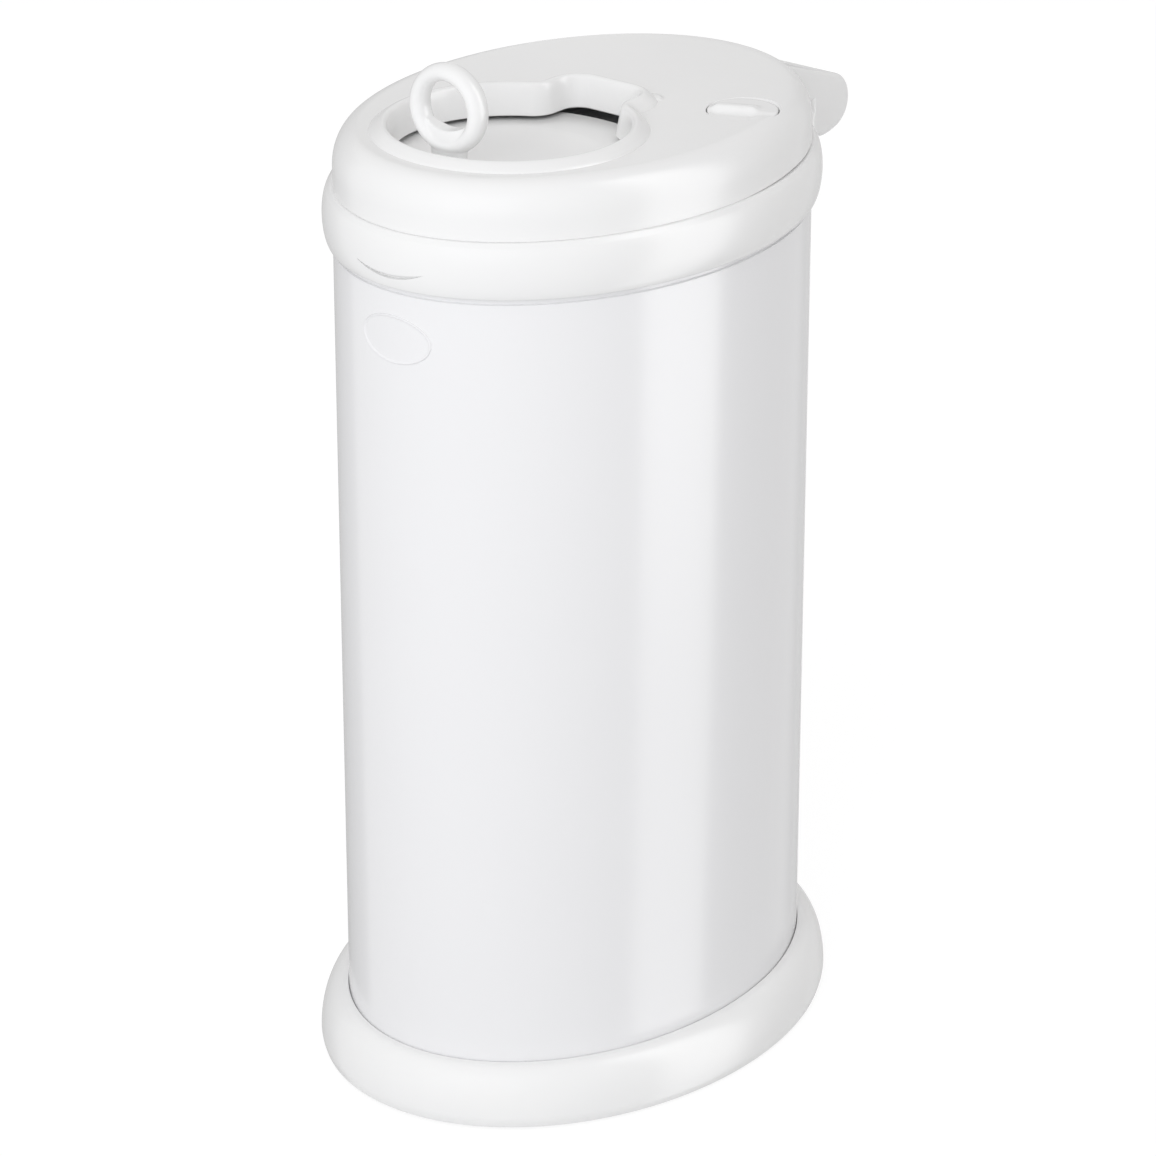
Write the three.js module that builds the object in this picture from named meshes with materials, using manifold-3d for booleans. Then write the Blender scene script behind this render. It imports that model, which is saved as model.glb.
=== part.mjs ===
// Nappy bin: an oval steel tube on a flared moulded base, with a collar at the top, a hinged
// double-walled lid, a sliding door with a ring handle in the lid, and a turning child lock.
// Millimetres. X runs across, -Y is the front, +Y the hinge side, Z is up.
import * as THREE from "three";
import { mergeVertices } from "three/addons/utils/BufferGeometryUtils.js";
import Module from "manifold-3d";

const wasm = await Module();
wasm.setup();

// Driving dimensions of the body. Every oval in the bin is this one with a step in or out.
const bodyHalfLength = 148;
const bodyHalfWidth = 110.5;
const bodyLength = 482.4;
const gap = 0.3;
const overrun = 5;

const steel = { wall: 1, hem: 2.2, hemDepth: 6 };
const foot = { radius: 10, chamfer: 1, cupWall: 2, cupDepth: 4, fromLedge: 2.3, turn: 45.6 };
const skirt = {
  clear: 1.5,
  height: 34,
  flare: 16,
  bottomOut: 14.4,
  shoulder: 6.5,
  lip: 2.2,
  lipRound: 0.8,
  wall: 2.4,
  ledge: 8,
  ledgeThick: 2.5,
  ledgeReach: 13,
};
const pan = { rim: 14, wall: 2.2, bossRadius: 4, bossRise: 9.5 };
const collar = {
  drop: 19.5,
  rise: 10.5,
  bulge: 5.6,
  bulgeLow: 0.5,
  topOut: 0.5,
  topRound: 1.2,
  land: 8.5,
  shelf: 13.5,
  shelfThick: 3,
  shelfDrop: 7.5,
  innerWall: 2.6,
  innerReach: 21,
};
const scallop = { halfWidth: 24, smile: 45, lowest: 8.5, depth: 2.6, rise: 15, fade: 0.27 };
const bagRing = { flange: 2.6, fall: 16, wall: 2.4, bead: 2.6, beadWidth: 4.6, taper: 0.4 };
const lid = {
  seam: 0.5,
  wall: 2.6,
  inset: 0.35,
  side: 10,
  shoulderRun: 13.4,
  shoulderRise: 19.4,
  dish: 1.8,
};
const mouth = {
  radiusShare: 0.5448,
  fromFront: 93.2,
  flare: 2.4,
  crestOut: 4.6,
  crestRise: 4.2,
  beadWidth: 12.5,
  embed: 1.6,
  wall: 2.2,
  lobeHalfWidth: 22.3,
  lobeDepth: 22.1,
  lobeCorner: 10,
  hip: 15,
  slot: 4.8,
};
const pip = { radius: 5.5, rise: 1.6, across: 24.5, back: 34 };
const hinge = {
  behind: 23,
  belowSeam: 5,
  barrel: 16,
  wall: 3,
  halfWidth: 44,
  bevel: 3,
  ramp: 9.8,
  lugRadius: 11,
  lugInner: 22,
  lugOuter: 40,
  knuckleRadius: 8,
  knuckleHalf: 18,
  pinRadius: 2.6,
  pinHalf: 40.4,
  webHalf: 4,
  slotBelow: 1,
};
const lidBase = {
  plate: 2.6,
  spigotOut: 19.5,
  spigotWall: 2.2,
  spigotFall: 8,
  chuteInset: 2.7,
  chuteWall: 2.7,
  chuteRise: 3.1,
  chuteFall: 12,
};
const lidSeal = { width: 3.8, thick: 1.5, edge: 0.7 };
const doorSeal = { thick: 1.9, lip: 1.1 };
const door = {
  overlap: 5.8,
  thick: 5.5,
  straight: 29.6,
  tail: 49,
  dishInset: 10.2,
  dishDepth: 3,
  padRadius: 15.5,
  ribInner: 3.5,
  ribOuter: 2.5,
  ribClear: 3.3,
  ribLength: 4,
  ribRise: 5.5,
};
const rail = {
  sideGap: 0.4,
  wall: 2.2,
  ledge: 3.9,
  ledgeThick: 2,
  lip: 2.6,
  lipThick: 2.2,
  toe: 1,
  endGap: 0.6,
  screwGap: 1.7,
};
const handle = {
  fromRim: 12.3,
  ringRadius: 19.4,
  tube: 4.4,
  ringRise: 38.3,
  holeFloor: 2.9,
  holeSweep: 22.5,
  baseHalfWidth: 14,
  baseHalfDepth: 9,
  neckHalfWidth: 11.2,
  neckHalfDepth: 5.2,
  screwSpread: 6,
};
const lock = {
  fromDoor: 8,
  back: 47,
  radius: 18.7,
  wellDepth: 2.6,
  wellWall: 2.4,
  rimDrop: 0.9,
  ridgeRise: 2.4,
  ridgeHalf: 2.2,
  ridgeTurn: 25,
  hubRadius: 7,
  spigot: 6.6,
  washer: 5,
  leverLift: 0.5,
  leverThick: 3,
  tipPastLobe: 31.2,
  leverHub: 9.5,
  leverTip: 5,
  armHalf: 4,
  leverAim: -92,
  lockTurn: 35,
};
const leaf = { thick: 0.6, height: 2.2, halfSpan: 13, postRadius: 2.6, nub: 1.1 };
const screw = { head: 3.1, headHeight: 1.6, shank: 1.5, length: 12, hole: 2 };

// Facet counts.
const ovalSides = 36;
const roundSides = 24;
const screwSides = 8;
const smallSides = 16;

// Heights, worked out from the floor up.
const ledgeTop = skirt.ledge;
const steelBottom = ledgeTop + gap;
const steelTop = steelBottom + bodyLength;
const collarChannel = steelTop + gap;
const collarBottom = collarChannel - collar.drop;
const collarTop = collarChannel + collar.rise;
const shelfTop = collarTop - collar.shelfDrop;
const lidBottom = collarTop + lid.seam;
const shoulderBase = lidBottom + lid.side;
const lidTop = shoulderBase + lid.shoulderRise;
const lidRim = -lid.inset - lid.shoulderRun;
const plateBottom = lidBottom + gap;
const sealTop = collarTop + gap + lidSeal.thick;
const plateTop = plateBottom + lidBase.plate;
const chuteTop = plateTop + lidBase.chuteRise;
const sealBottom = chuteTop + gap;
const doorBottom = sealBottom + doorSeal.thick + gap;
const doorTop = doorBottom + door.thick;
const railLipBottom = doorTop + gap;
const railTop = railLipBottom + rail.lipThick;
const leverBottom = railTop + lock.leverLift;
const leverTop = leverBottom + lock.leverThick;
const mouthBottom = doorTop + mouth.slot;
const crest = lidTop + mouth.crestRise;
const wellFloor = lidTop - lid.dish / 2 - lock.wellDepth;
const cupBottom = wellFloor - lock.wellWall;
const plateOut = -lid.inset - lid.wall - gap;
const hingeY = bodyHalfLength + hinge.behind;
const hingeZ = lidBottom - hinge.belowSeam;
const ringZ = doorTop + handle.ringRise;

// The mouth and what follows it: the chute below it, the door that covers it, the rails beside
// the door, the handle at its front rim and the lock beside the door.
const mouthRadius = bodyHalfWidth * mouth.radiusShare;
const mouthY = mouth.fromFront - bodyHalfLength;
const lobeBack = mouthY + mouthRadius + mouth.lobeDepth;
const chuteBore = mouthRadius - lidBase.chuteInset;
const chuteOuter = chuteBore + lidBase.chuteWall;
const doorHalfWidth = mouthRadius + door.overlap;
const dishRadius = mouthRadius - door.dishInset;
const railInside = doorHalfWidth + rail.sideGap;
const railOutside = railInside + rail.wall;
const railRoomWidth = bodyHalfWidth - lid.inset - 2 * lid.wall;
const railRoomLength = bodyHalfLength - lid.inset - 2 * lid.wall;
const railReachShare = Math.sqrt(1 - ((railOutside + rail.toe) / railRoomWidth) ** 2);
const railHalfLength = railRoomLength * railReachShare - rail.endGap;
const handleY = mouthY - mouthRadius + handle.fromRim;
const lockX = doorHalfWidth + lock.fromDoor;
const leverReach = lock.back - lobeBack + lock.tipPastLobe;

// Places of what repeats, as turns round the oval that carries it. The lid's corner screws
// stand just outside the rails.
const cornerTurns = [40, 140, 220, 320];
const lidScrewOut = -collar.land - screw.head - gap - gap;
const lidScrewX = railOutside + rail.toe + rail.screwGap + pan.bossRadius;
const lidScrewTurn = THREE.MathUtils.radToDeg(Math.acos(lidScrewX / (bodyHalfWidth + lidScrewOut)));
const lidScrewTurns = [-lidScrewTurn, 0, lidScrewTurn, 180 - lidScrewTurn, 180, 180 + lidScrewTurn];

// Mesh helpers: rings of points joined into closed solids.
function ovalRing({ out, z, share = 1 }) {
  const ring = [];
  for (let i = 0; i < ovalSides; i++) {
    const turn = (i / ovalSides) * 2 * Math.PI;
    const x = share * (bodyHalfWidth + out) * Math.cos(turn);
    const y = share * (bodyHalfLength + out) * Math.sin(turn);
    ring.push(new THREE.Vector3(x, y, z));
  }
  return ring;
}

function roundRing(radius, z, sides = roundSides) {
  const ring = [];
  for (let i = 0; i < sides; i++) {
    const turn = (i / sides) * 2 * Math.PI;
    ring.push(new THREE.Vector3(radius * Math.cos(turn), radius * Math.sin(turn), z));
  }
  return ring;
}

function loft(rings, closed = false) {
  const sides = rings[0].length;
  const corner = (ring, i) => (ring % rings.length) * sides + (i % sides);
  const index = [];
  const bands = closed ? rings.length : rings.length - 1;
  for (let ring = 0; ring < bands; ring++) {
    for (let i = 0; i < sides; i++) {
      index.push(corner(ring, i), corner(ring, i + 1), corner(ring + 1, i + 1));
      index.push(corner(ring, i), corner(ring + 1, i + 1), corner(ring + 1, i));
    }
  }
  if (!closed) {
    const top = rings.length - 1;
    for (const [a, b, c] of capTriangles(rings[0])) {
      index.push(corner(0, a), corner(0, c), corner(0, b));
    }
    for (const [a, b, c] of capTriangles(rings[top])) {
      index.push(corner(top, a), corner(top, b), corner(top, c));
    }
  }
  const geometry = new THREE.BufferGeometry();
  const positions = rings.flat().flatMap((p) => [p.x, p.y, p.z]);
  geometry.setAttribute("position", new THREE.Float32BufferAttribute(positions, 3));
  geometry.setIndex(index);
  return geometry;
}

function capTriangles(ring) {
  return THREE.ShapeUtils.triangulateShape(
    ring.map((p) => new THREE.Vector2(p.x, p.y)),
    [],
  );
}

// Manifold helpers: booleans only.
function solid(geometry) {
  const bare = geometry.clone();
  bare.deleteAttribute("normal");
  bare.deleteAttribute("uv");
  const merged = mergeVertices(bare);
  return new wasm.Manifold(
    new wasm.Mesh({
      numProp: 3,
      vertProperties: Float32Array.from(merged.attributes.position.array),
      triVerts: Uint32Array.from(merged.index.array),
    }),
  );
}

function geometryOf(body) {
  const mesh = body.getMesh();
  const indexed = new THREE.BufferGeometry();
  indexed.setAttribute("position", new THREE.BufferAttribute(mesh.vertProperties, 3));
  indexed.setIndex(new THREE.BufferAttribute(mesh.triVerts, 1));
  const faceted = indexed.toNonIndexed();
  faceted.computeVertexNormals();
  return faceted;
}

function joined(...bodies) {
  return bodies.reduce((sum, body) => sum.add(body));
}

// Solid helpers: ovals, turned pieces, bars, slabs and extrusions.
const ovalPlug = (profile) => solid(loft(profile.map(ovalRing)));
const ovalHoop = (profile) => solid(loft(profile.map(ovalRing), true));

function placed(geometry, x, y, z) {
  return solid(geometry.translate(x, y, z));
}

function turned(profile, sides = roundSides) {
  return loft(profile.map(([radius, z]) => roundRing(radius, z, sides)));
}

function uprightBar(radius, x, y, low, high, sides = roundSides) {
  return placed(turned([[radius, low], [radius, high]], sides), x, y, 0);
}

function crossBar(radius, halfLength, y, z, sides = roundSides) {
  const bar = turned([[radius, -halfLength], [radius, halfLength]], sides);
  return placed(bar.rotateY(Math.PI / 2), 0, y, z);
}

function slab(x0, x1, y0, y1, z0, z1) {
  const box = new THREE.BoxGeometry(x1 - x0, y1 - y0, z1 - z0);
  return placed(box, (x0 + x1) / 2, (y0 + y1) / 2, (z0 + z1) / 2);
}

function extrudedUp(shape, low, high, curveSegments = 12) {
  const depth = high - low;
  return placed(new THREE.ExtrudeGeometry(shape, { depth, bevelEnabled: false, curveSegments }), 0, 0, low);
}

// A shape drawn in Y and Z and pulled along X.
function extrudedAcross(shape, x0, x1, bevel = 0, curveSegments = 12) {
  const prism = new THREE.ExtrudeGeometry(shape, {
    depth: x1 - x0 - 2 * bevel,
    bevelEnabled: bevel > 0,
    bevelThickness: bevel,
    bevelSize: bevel,
    bevelOffset: -bevel,
    bevelSegments: 1,
    curveSegments,
  });
  const turn = new THREE.Matrix4().makeBasis(
    new THREE.Vector3(0, 1, 0),
    new THREE.Vector3(0, 0, 1),
    new THREE.Vector3(1, 0, 0),
  );
  return placed(prism.applyMatrix4(turn), x0 + bevel, 0, 0);
}

function polygon(points) {
  return new THREE.Shape(points.map(([x, y]) => new THREE.Vector2(x, y)));
}

// Points of a quarter or part of an ellipse, as steps out and heights.
function arc(centreOut, centreZ, run, rise, from, to, steps) {
  const points = [];
  for (let i = 0; i <= steps; i++) {
    const turn = THREE.MathUtils.degToRad(from + ((to - from) * i) / steps);
    points.push({ out: centreOut + run * Math.cos(turn), z: centreZ + rise * Math.sin(turn) });
  }
  return points;
}

const level = (out, z) => ({ out, z });

function ovalPoint(out, degrees) {
  const turn = THREE.MathUtils.degToRad(degrees);
  return [(bodyHalfWidth + out) * Math.cos(turn), (bodyHalfLength + out) * Math.sin(turn)];
}

// Materials, one for each finish.
const finishes = {
  whiteSteel: { color: 0xf2f2f4, roughness: 0.22, metalness: 0 },
  whitePlastic: { color: 0xf0f0f0, roughness: 0.32, metalness: 0 },
  greyPlastic: { color: 0xdcdddf, roughness: 0.45, metalness: 0 },
  greyRubber: { color: 0xb9babc, roughness: 0.8, metalness: 0 },
  darkRubber: { color: 0x3b3c3e, roughness: 0.85, metalness: 0 },
  zincSteel: { color: 0xb4b6b8, roughness: 0.35, metalness: 1 },
};
const materials = Object.fromEntries(
  Object.entries(finishes).map(([name, finish]) => [name, new THREE.MeshStandardMaterial(finish)]),
);

const bin = new THREE.Group();
const fixed = new THREE.Group();
const lidGroup = new THREE.Group();
bin.add(fixed, lidGroup);

function piece(group, name, body, finish) {
  const mesh = new THREE.Mesh(geometryOf(body), materials[finish]);
  mesh.name = name;
  group.add(mesh);
}

// Screws: a pan head and a plain shank, made pointing up from the origin.
function screwGeometry(length = screw.length) {
  return turned(
    [
      [screw.head, 0],
      [screw.head, screw.headHeight],
      [screw.shank, screw.headHeight],
      [screw.shank, screw.headHeight + length],
    ],
    screwSides,
  );
}

const screwHole = (x, y, low, high) => uprightBar(screw.hole, x, y, low, high, screwSides);

// Steel body: one wall bent to an oval tube, its edges hemmed inwards.
function steelBody() {
  const tube = ovalHoop([
    level(0, steelBottom),
    level(0, steelTop),
    level(-steel.hem, steelTop),
    level(-steel.hem, steelTop - steel.hemDepth),
    level(-steel.wall, steelTop - steel.hemDepth - steel.wall),
    level(-steel.wall, steelBottom + steel.hemDepth + steel.wall),
    level(-steel.hem, steelBottom + steel.hemDepth),
    level(-steel.hem, steelBottom),
  ]);
  return cornerTurns.reduce((body, turn) => body.subtract(collarScrewHole(turn)), tube);
}

// Base skirt: a flared shell that holds the tube's lower edge on an inner ledge.
function baseSkirt() {
  const lipTop = skirt.height;
  const outer = [
    level(skirt.bottomOut, skirt.clear),
    ...arc(skirt.lip, skirt.shoulder, skirt.flare - skirt.lip, lipTop - skirt.shoulder, 0, 84, 5),
    level(skirt.lip - skirt.lipRound, lipTop),
  ];
  const hollowFlare = skirt.flare - skirt.lip - skirt.wall;
  const hollowRise = lipTop - skirt.shoulder - skirt.wall;
  const inner = arc(skirt.lip, skirt.shoulder, hollowFlare, hollowRise, 78, 0, 3);
  const hoop = ovalHoop([
    ...outer,
    level(gap, lipTop),
    level(gap, ledgeTop),
    level(-skirt.ledgeReach, ledgeTop),
    level(-skirt.ledgeReach, ledgeTop - skirt.ledgeThick),
    level(gap + skirt.wall, ledgeTop - skirt.ledgeThick),
    ...inner,
    level(skirt.bottomOut - skirt.wall, skirt.clear),
  ]);
  return cornerTurns.reduce((body, turn) => {
    const [x, y] = baseScrewPlace(turn);
    return body.subtract(screwHole(x, y, 0, ledgeTop + overrun));
  }, hoop);
}

const baseScrewLow = ledgeTop - skirt.ledgeThick - gap - screw.headHeight;
const baseScrewPlace = (turn) => ovalPoint(-steel.hem - gap - pan.bossRadius - pan.wall / 2, turn);
const footOut = -skirt.ledgeReach - foot.fromLedge - foot.cupWall - gap - foot.radius;
const [footX, footY] = ovalPoint(footOut, foot.turn);
const footPlaces = [
  ["front_left", -footX, -footY],
  ["front_right", footX, -footY],
  ["rear_left", -footX, footY],
  ["rear_right", footX, footY],
];

// Base pan: the floor inside the tube, with screw bosses.
function basePan() {
  const panBottom = ledgeTop + gap;
  const rimOut = -steel.hem - gap;
  const floorTop = panBottom + pan.wall;
  let body = ovalPlug([
    level(rimOut, panBottom),
    level(rimOut, panBottom + pan.rim),
    level(rimOut - pan.wall, panBottom + pan.rim),
    level(rimOut - pan.wall, floorTop),
  ]);
  const screwTop = baseScrewLow + screw.headHeight + screw.length;
  for (const turn of cornerTurns) {
    const [x, y] = baseScrewPlace(turn);
    body = body.add(uprightBar(pan.bossRadius, x, y, panBottom, floorTop + pan.bossRise, smallSides / 2));
    body = body.subtract(screwHole(x, y, panBottom - overrun, screwTop + gap));
  }
  return body;
}

// Foot cup: a short ring under the floor that a rubber foot is pressed into.
function footCup(x, y) {
  const bore = foot.radius + gap;
  const low = ledgeTop - foot.cupDepth;
  const ring = uprightBar(bore + foot.cupWall, x, y, low, ledgeTop, smallSides);
  return ring.subtract(uprightBar(bore, x, y, 0, bodyLength, smallSides));
}

function rubberFoot(x, y) {
  const pad = turned([
    [foot.radius - foot.chamfer, 0],
    [foot.radius, foot.chamfer],
    [foot.radius, steelBottom - gap],
  ], smallSides);
  return placed(pad, x, y, 0);
}

// Collar: a bulged ring that hooks over the tube's upper edge and carries the hinge lugs.
function collarRing() {
  const bulgeZ = (collarBottom + collarTop) / 2;
  const bulgeRun = collar.bulge - collar.bulgeLow;
  const bulgeRise = bulgeZ - collarBottom;
  const innerOut = -steel.hem - gap;
  const hoop = ovalHoop([
    ...arc(collar.bulgeLow, bulgeZ, bulgeRun, bulgeRise, -90, 60, 5),
    level(collar.topOut + collar.topRound, collarTop - collar.topRound),
    level(collar.topOut, collarTop),
    level(-collar.land, collarTop),
    level(-collar.land, shelfTop),
    level(-collar.shelf, shelfTop),
    level(-collar.shelf, shelfTop - collar.shelfThick),
    level(innerOut - collar.innerWall, shelfTop - collar.shelfThick),
    level(innerOut - collar.innerWall, collarChannel - collar.innerReach),
    level(innerOut, collarChannel - collar.innerReach),
    level(innerOut, collarChannel),
    level(gap, collarChannel),
    level(gap, collarBottom),
  ]);
  const tubeRoom = ovalPlug([level(gap, collarBottom - overrun), level(gap, collarChannel)]);
  const pinHole = crossBar(hinge.pinRadius + gap, hinge.lugOuter + overrun, hingeY, hingeZ, roundSides / 2);
  let body = hoop;
  for (const side of [-1, 1]) {
    const inner = side * hinge.lugInner;
    const outer = side * hinge.lugOuter;
    const lug = lugSolid(Math.min(inner, outer), Math.max(inner, outer));
    body = body.add(lug.subtract(tubeRoom));
  }
  body = body.subtract(pinHole).subtract(fingerScallop());
  return cornerTurns.reduce((sum, turn) => sum.subtract(collarScrewHole(turn)), body);
}

// One hinge lug, from the collar's back to a round eye on the pin.
function lugSolid(x0, x1) {
  const root = bodyHalfLength - collar.land;
  const rim = bodyHalfLength + collar.topOut + collar.topRound;
  const arm = polygon([
    [root, collarBottom + gap],
    [hingeY, hingeZ - hinge.lugRadius],
    [hingeY, hingeZ + hinge.lugRadius],
    [rim, collarTop - gap],
    [root, collarTop - gap],
  ]);
  const eye = new THREE.Shape().absarc(hingeY, hingeZ, hinge.lugRadius, 0, 2 * Math.PI, false);
  return joined(extrudedAcross(arm, x0, x1), extrudedAcross(eye, x0, x1, 0, roundSides / 2));
}

// The smile-shaped finger scallop low on the collar's front: sharp below, fading upwards.
function fingerScallop() {
  const lean = Math.atan(scallop.fade);
  const startX = -scallop.halfWidth;
  const sweep = Math.asin(scallop.halfWidth / scallop.smile);
  const lens = new THREE.Shape();
  lens.absarc(0, scallop.smile, scallop.smile, -Math.PI / 2 - sweep, -Math.PI / 2 + sweep, false);
  lens.lineTo(scallop.halfWidth, scallop.rise);
  lens.lineTo(startX, scallop.rise);
  const depth = collar.bulge + overrun;
  const block = new THREE.ExtrudeGeometry(lens, { depth, bevelEnabled: false, curveSegments: 10 });
  const turn = new THREE.Matrix4().makeBasis(
    new THREE.Vector3(1, 0, 0),
    new THREE.Vector3(0, -Math.sin(lean), Math.cos(lean)),
    new THREE.Vector3(0, -Math.cos(lean), -Math.sin(lean)),
  );
  const depthY = -(bodyHalfLength + collar.bulge - scallop.depth);
  return placed(block.applyMatrix4(turn), 0, depthY, collarBottom + scallop.lowest);
}

// Collar screws run outwards through the inner wall and the steel.
const collarScrewZ = collarBottom + collar.drop / 2;

function radially(geometry, turn, out) {
  const [x, y] = ovalPoint(out, turn);
  const [nextX, nextY] = ovalPoint(out, turn + 1);
  const heading = Math.atan2(-(nextX - x), nextY - y);
  return placed(geometry.rotateY(Math.PI / 2).rotateZ(heading), x, y, collarScrewZ);
}

const collarScrewOut = -steel.hem - gap - collar.innerWall - gap - gap;
const collarScrewLength = collar.innerWall + steel.hem + gap + gap + gap + collar.bulge / 2;

function collarScrewHole(turn) {
  const hole = turned([[screw.hole, 0], [screw.hole, collarScrewLength + 2 * gap]], screwSides);
  return radially(hole, turn, collarScrewOut - gap);
}

function collarScrew(turn) {
  const body = screwGeometry(collarScrewLength).translate(0, 0, -screw.headHeight);
  return radially(body, turn, collarScrewOut);
}

// Bag ring: lifts out of the collar; the bag's mouth folds over its bead.
const beadTopShares = [0.25, 0.75];

function bagRingSolid() {
  const flangeBottom = shelfTop + gap;
  const flangeTop = flangeBottom + bagRing.flange;
  const edge = -collar.land - gap;
  const throat = -collar.shelf - gap;
  const inside = throat - bagRing.wall;
  const low = flangeBottom - bagRing.fall;
  return ovalHoop([
    level(throat - bagRing.taper, low),
    level(throat, flangeBottom),
    level(edge, flangeBottom),
    level(edge, flangeTop),
    level(inside + bagRing.beadWidth, flangeTop),
    level(inside + bagRing.beadWidth * beadTopShares[1], flangeTop + bagRing.bead),
    level(inside + bagRing.beadWidth * beadTopShares[0], flangeTop + bagRing.bead),
    level(inside, flangeTop),
    level(inside - bagRing.taper, low),
  ]);
}

// Outline of the lid's mouth: a round hole with a lobe at the back that the handle parks in.
// Growing it moves every arc by the same step, so the rings stay parallel.
function mouthRing(grow, z) {
  const hipX = mouth.lobeHalfWidth + mouth.hip;
  const hipReach = mouthRadius + mouth.hip;
  const hipY = mouthY + Math.sqrt(hipReach ** 2 - hipX ** 2);
  const lean = Math.asin(hipX / hipReach);
  const quarter = Math.PI / 2;
  const cornerX = mouth.lobeHalfWidth - mouth.lobeCorner;
  const cornerY = lobeBack - mouth.lobeCorner;
  const stretches = [
    [cornerX, cornerY, mouth.lobeCorner + grow, 0, quarter, 4],
    [-cornerX, cornerY, mouth.lobeCorner + grow, quarter, 2 * quarter, 4],
    [-hipX, hipY, mouth.hip - grow, 0, lean - quarter, 3],
    [0, mouthY, mouthRadius + grow, quarter + lean, 5 * quarter - lean, 26],
    [hipX, hipY, mouth.hip - grow, 3 * quarter - lean, 2 * quarter, 3],
  ];
  const ring = [];
  for (const [x, y, radius, from, to, steps] of stretches) {
    const meetsNext = x === 0 || x === -hipX;
    const last = meetsNext ? steps - 1 : steps;
    for (let i = 0; i <= last; i++) {
      const turn = from + ((to - from) * i) / steps;
      ring.push(new THREE.Vector3(x + radius * Math.cos(turn), y + radius * Math.sin(turn), z));
    }
  }
  return ring;
}

// The lid's dome, as rings; thickness takes the same form inwards for the hollow.
function domeRings(thickness) {
  const side = -lid.inset - thickness;
  const shoulder = arc(
    lidRim,
    shoulderBase,
    lid.shoulderRun - thickness,
    lid.shoulderRise - thickness,
    0,
    90,
    thickness > 0 ? 2 : 6,
  );
  const dishShares = thickness > 0 ? [0.6] : [0.8, 0.45];
  const dishRings = dishShares.map((share) => ({
    out: lidRim,
    z: lidTop - thickness - lid.dish * (1 - share ** 2),
    share,
  }));
  return [level(side, thickness > 0 ? lidBottom - overrun : lidBottom), ...shoulder, ...dishRings];
}

// Side view of the hinge hood: a barrel round the pin, with a ramp that runs forwards into the lid's top.
function hoodShape(thickness) {
  const radius = hinge.barrel - thickness;
  const rampY = bodyHalfLength + lidRim - hinge.ramp;
  const rampZ = lidTop - lid.dish / 4 - thickness;
  const startY = rampY - lid.shoulderRun;
  const reach = Math.hypot(hingeY - rampY, rampZ - hingeZ);
  const aim = Math.atan2(rampZ - hingeZ, rampY - hingeY);
  const touch = aim - Math.acos(radius / reach);
  const low = thickness > 0 ? hingeZ : lidBottom;
  const enter = Math.PI - Math.asin((low - hingeZ) / radius);
  const shape = new THREE.Shape();
  shape.moveTo(startY, low);
  shape.lineTo(hingeY + radius * Math.cos(enter), low);
  shape.absarc(hingeY, hingeZ, radius, enter, touch + 2 * Math.PI, false);
  shape.lineTo(rampY, rampZ);
  shape.lineTo(startY, rampZ - lid.dish);
  return shape;
}

function lidShell() {
  const dome = ovalPlug(domeRings(0));
  const hood = extrudedAcross(hoodShape(0), -hinge.halfWidth, hinge.halfWidth, hinge.bevel, 8);
  const outer = dome.add(hood);
  const inHalf = hinge.halfWidth - hinge.wall;
  const hoodRoom = extrudedAcross(hoodShape(hinge.wall), -inHalf, inHalf, 0, 5);
  const lugRoom = slab(
    -inHalf,
    inHalf,
    bodyHalfLength + lidRim,
    hingeY + hinge.lugRadius + gap,
    hingeZ - hinge.barrel - overrun,
    hingeZ + hinge.lugRadius + gap,
  );
  let body = outer.subtract(ovalPlug(domeRings(lid.wall))).subtract(hoodRoom).subtract(lugRoom);
  for (const side of [-1, 1]) body = body.subtract(lugSlot(side));
  body = body.add(hingeKnuckle());
  body = body.add(lockCup()).subtract(lockWell());
  for (const [x, y] of lidScrewPlaces()) {
    body = body.add(uprightBar(pan.bossRadius, x, y, plateTop + gap, lidTop - lid.wall, smallSides / 2));
    body = body.subtract(screwHole(x, y, plateTop - overrun, plateTop + screw.length));
  }
  for (const side of [-1, 1]) body = body.add(leafPost(side));
  body = body.subtract(leafSlot());
  const mouthCut = [mouthBottom - overrun, crest + overrun].map((z) => mouthRing(mouth.crestOut, z));
  return body.subtract(solid(loft(mouthCut))).add(mouthBead()).add(stopPip());
}

// The slot in the hood's back that one lug passes through as the lid opens.
function lugSlot(side) {
  const inner = side * (hinge.lugInner - 2 * gap);
  const outer = side * (hinge.halfWidth - hinge.wall);
  const back = hingeY + hinge.barrel + overrun;
  const low = hingeZ - hinge.barrel - overrun;
  return slab(Math.min(inner, outer), Math.max(inner, outer), hingeY, back, low, hingeZ - hinge.slotBelow);
}

// The raised bead round the mouth and the short wall that hangs from it.
const crestShares = [
  [0.8, 0.1],
  [1.25, 0],
  [1.8, 0.35],
];

function mouthBead() {
  const top = lidTop - lid.dish;
  const bead = [
    [0, mouthBottom],
    [mouth.flare, crest - mouth.crestRise / 2],
    ...crestShares.map(([out, fall]) => [mouth.crestOut * out, crest - mouth.crestRise * fall]),
    [mouth.beadWidth, top],
    [mouth.beadWidth, top - mouth.embed],
    [mouth.flare + mouth.wall, top - mouth.embed],
    [mouth.wall, mouthBottom],
  ];
  const rings = bead.map(([grow, z]) => mouthRing(grow, z));
  return solid(loft(rings.reverse(), true));
}

const pipShares = [
  [1, 0],
  [0.8, 1],
  [0.4, 1.3],
];

function stopPip() {
  const top = lidTop - lid.dish / 2;
  const round = pipShares.map(([out, up]) => [pip.radius * out, top + pip.rise * up]);
  const pad = turned([[pip.radius, lidTop - lid.wall], ...round]);
  return placed(pad, pip.across, pip.back, 0);
}

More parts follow.
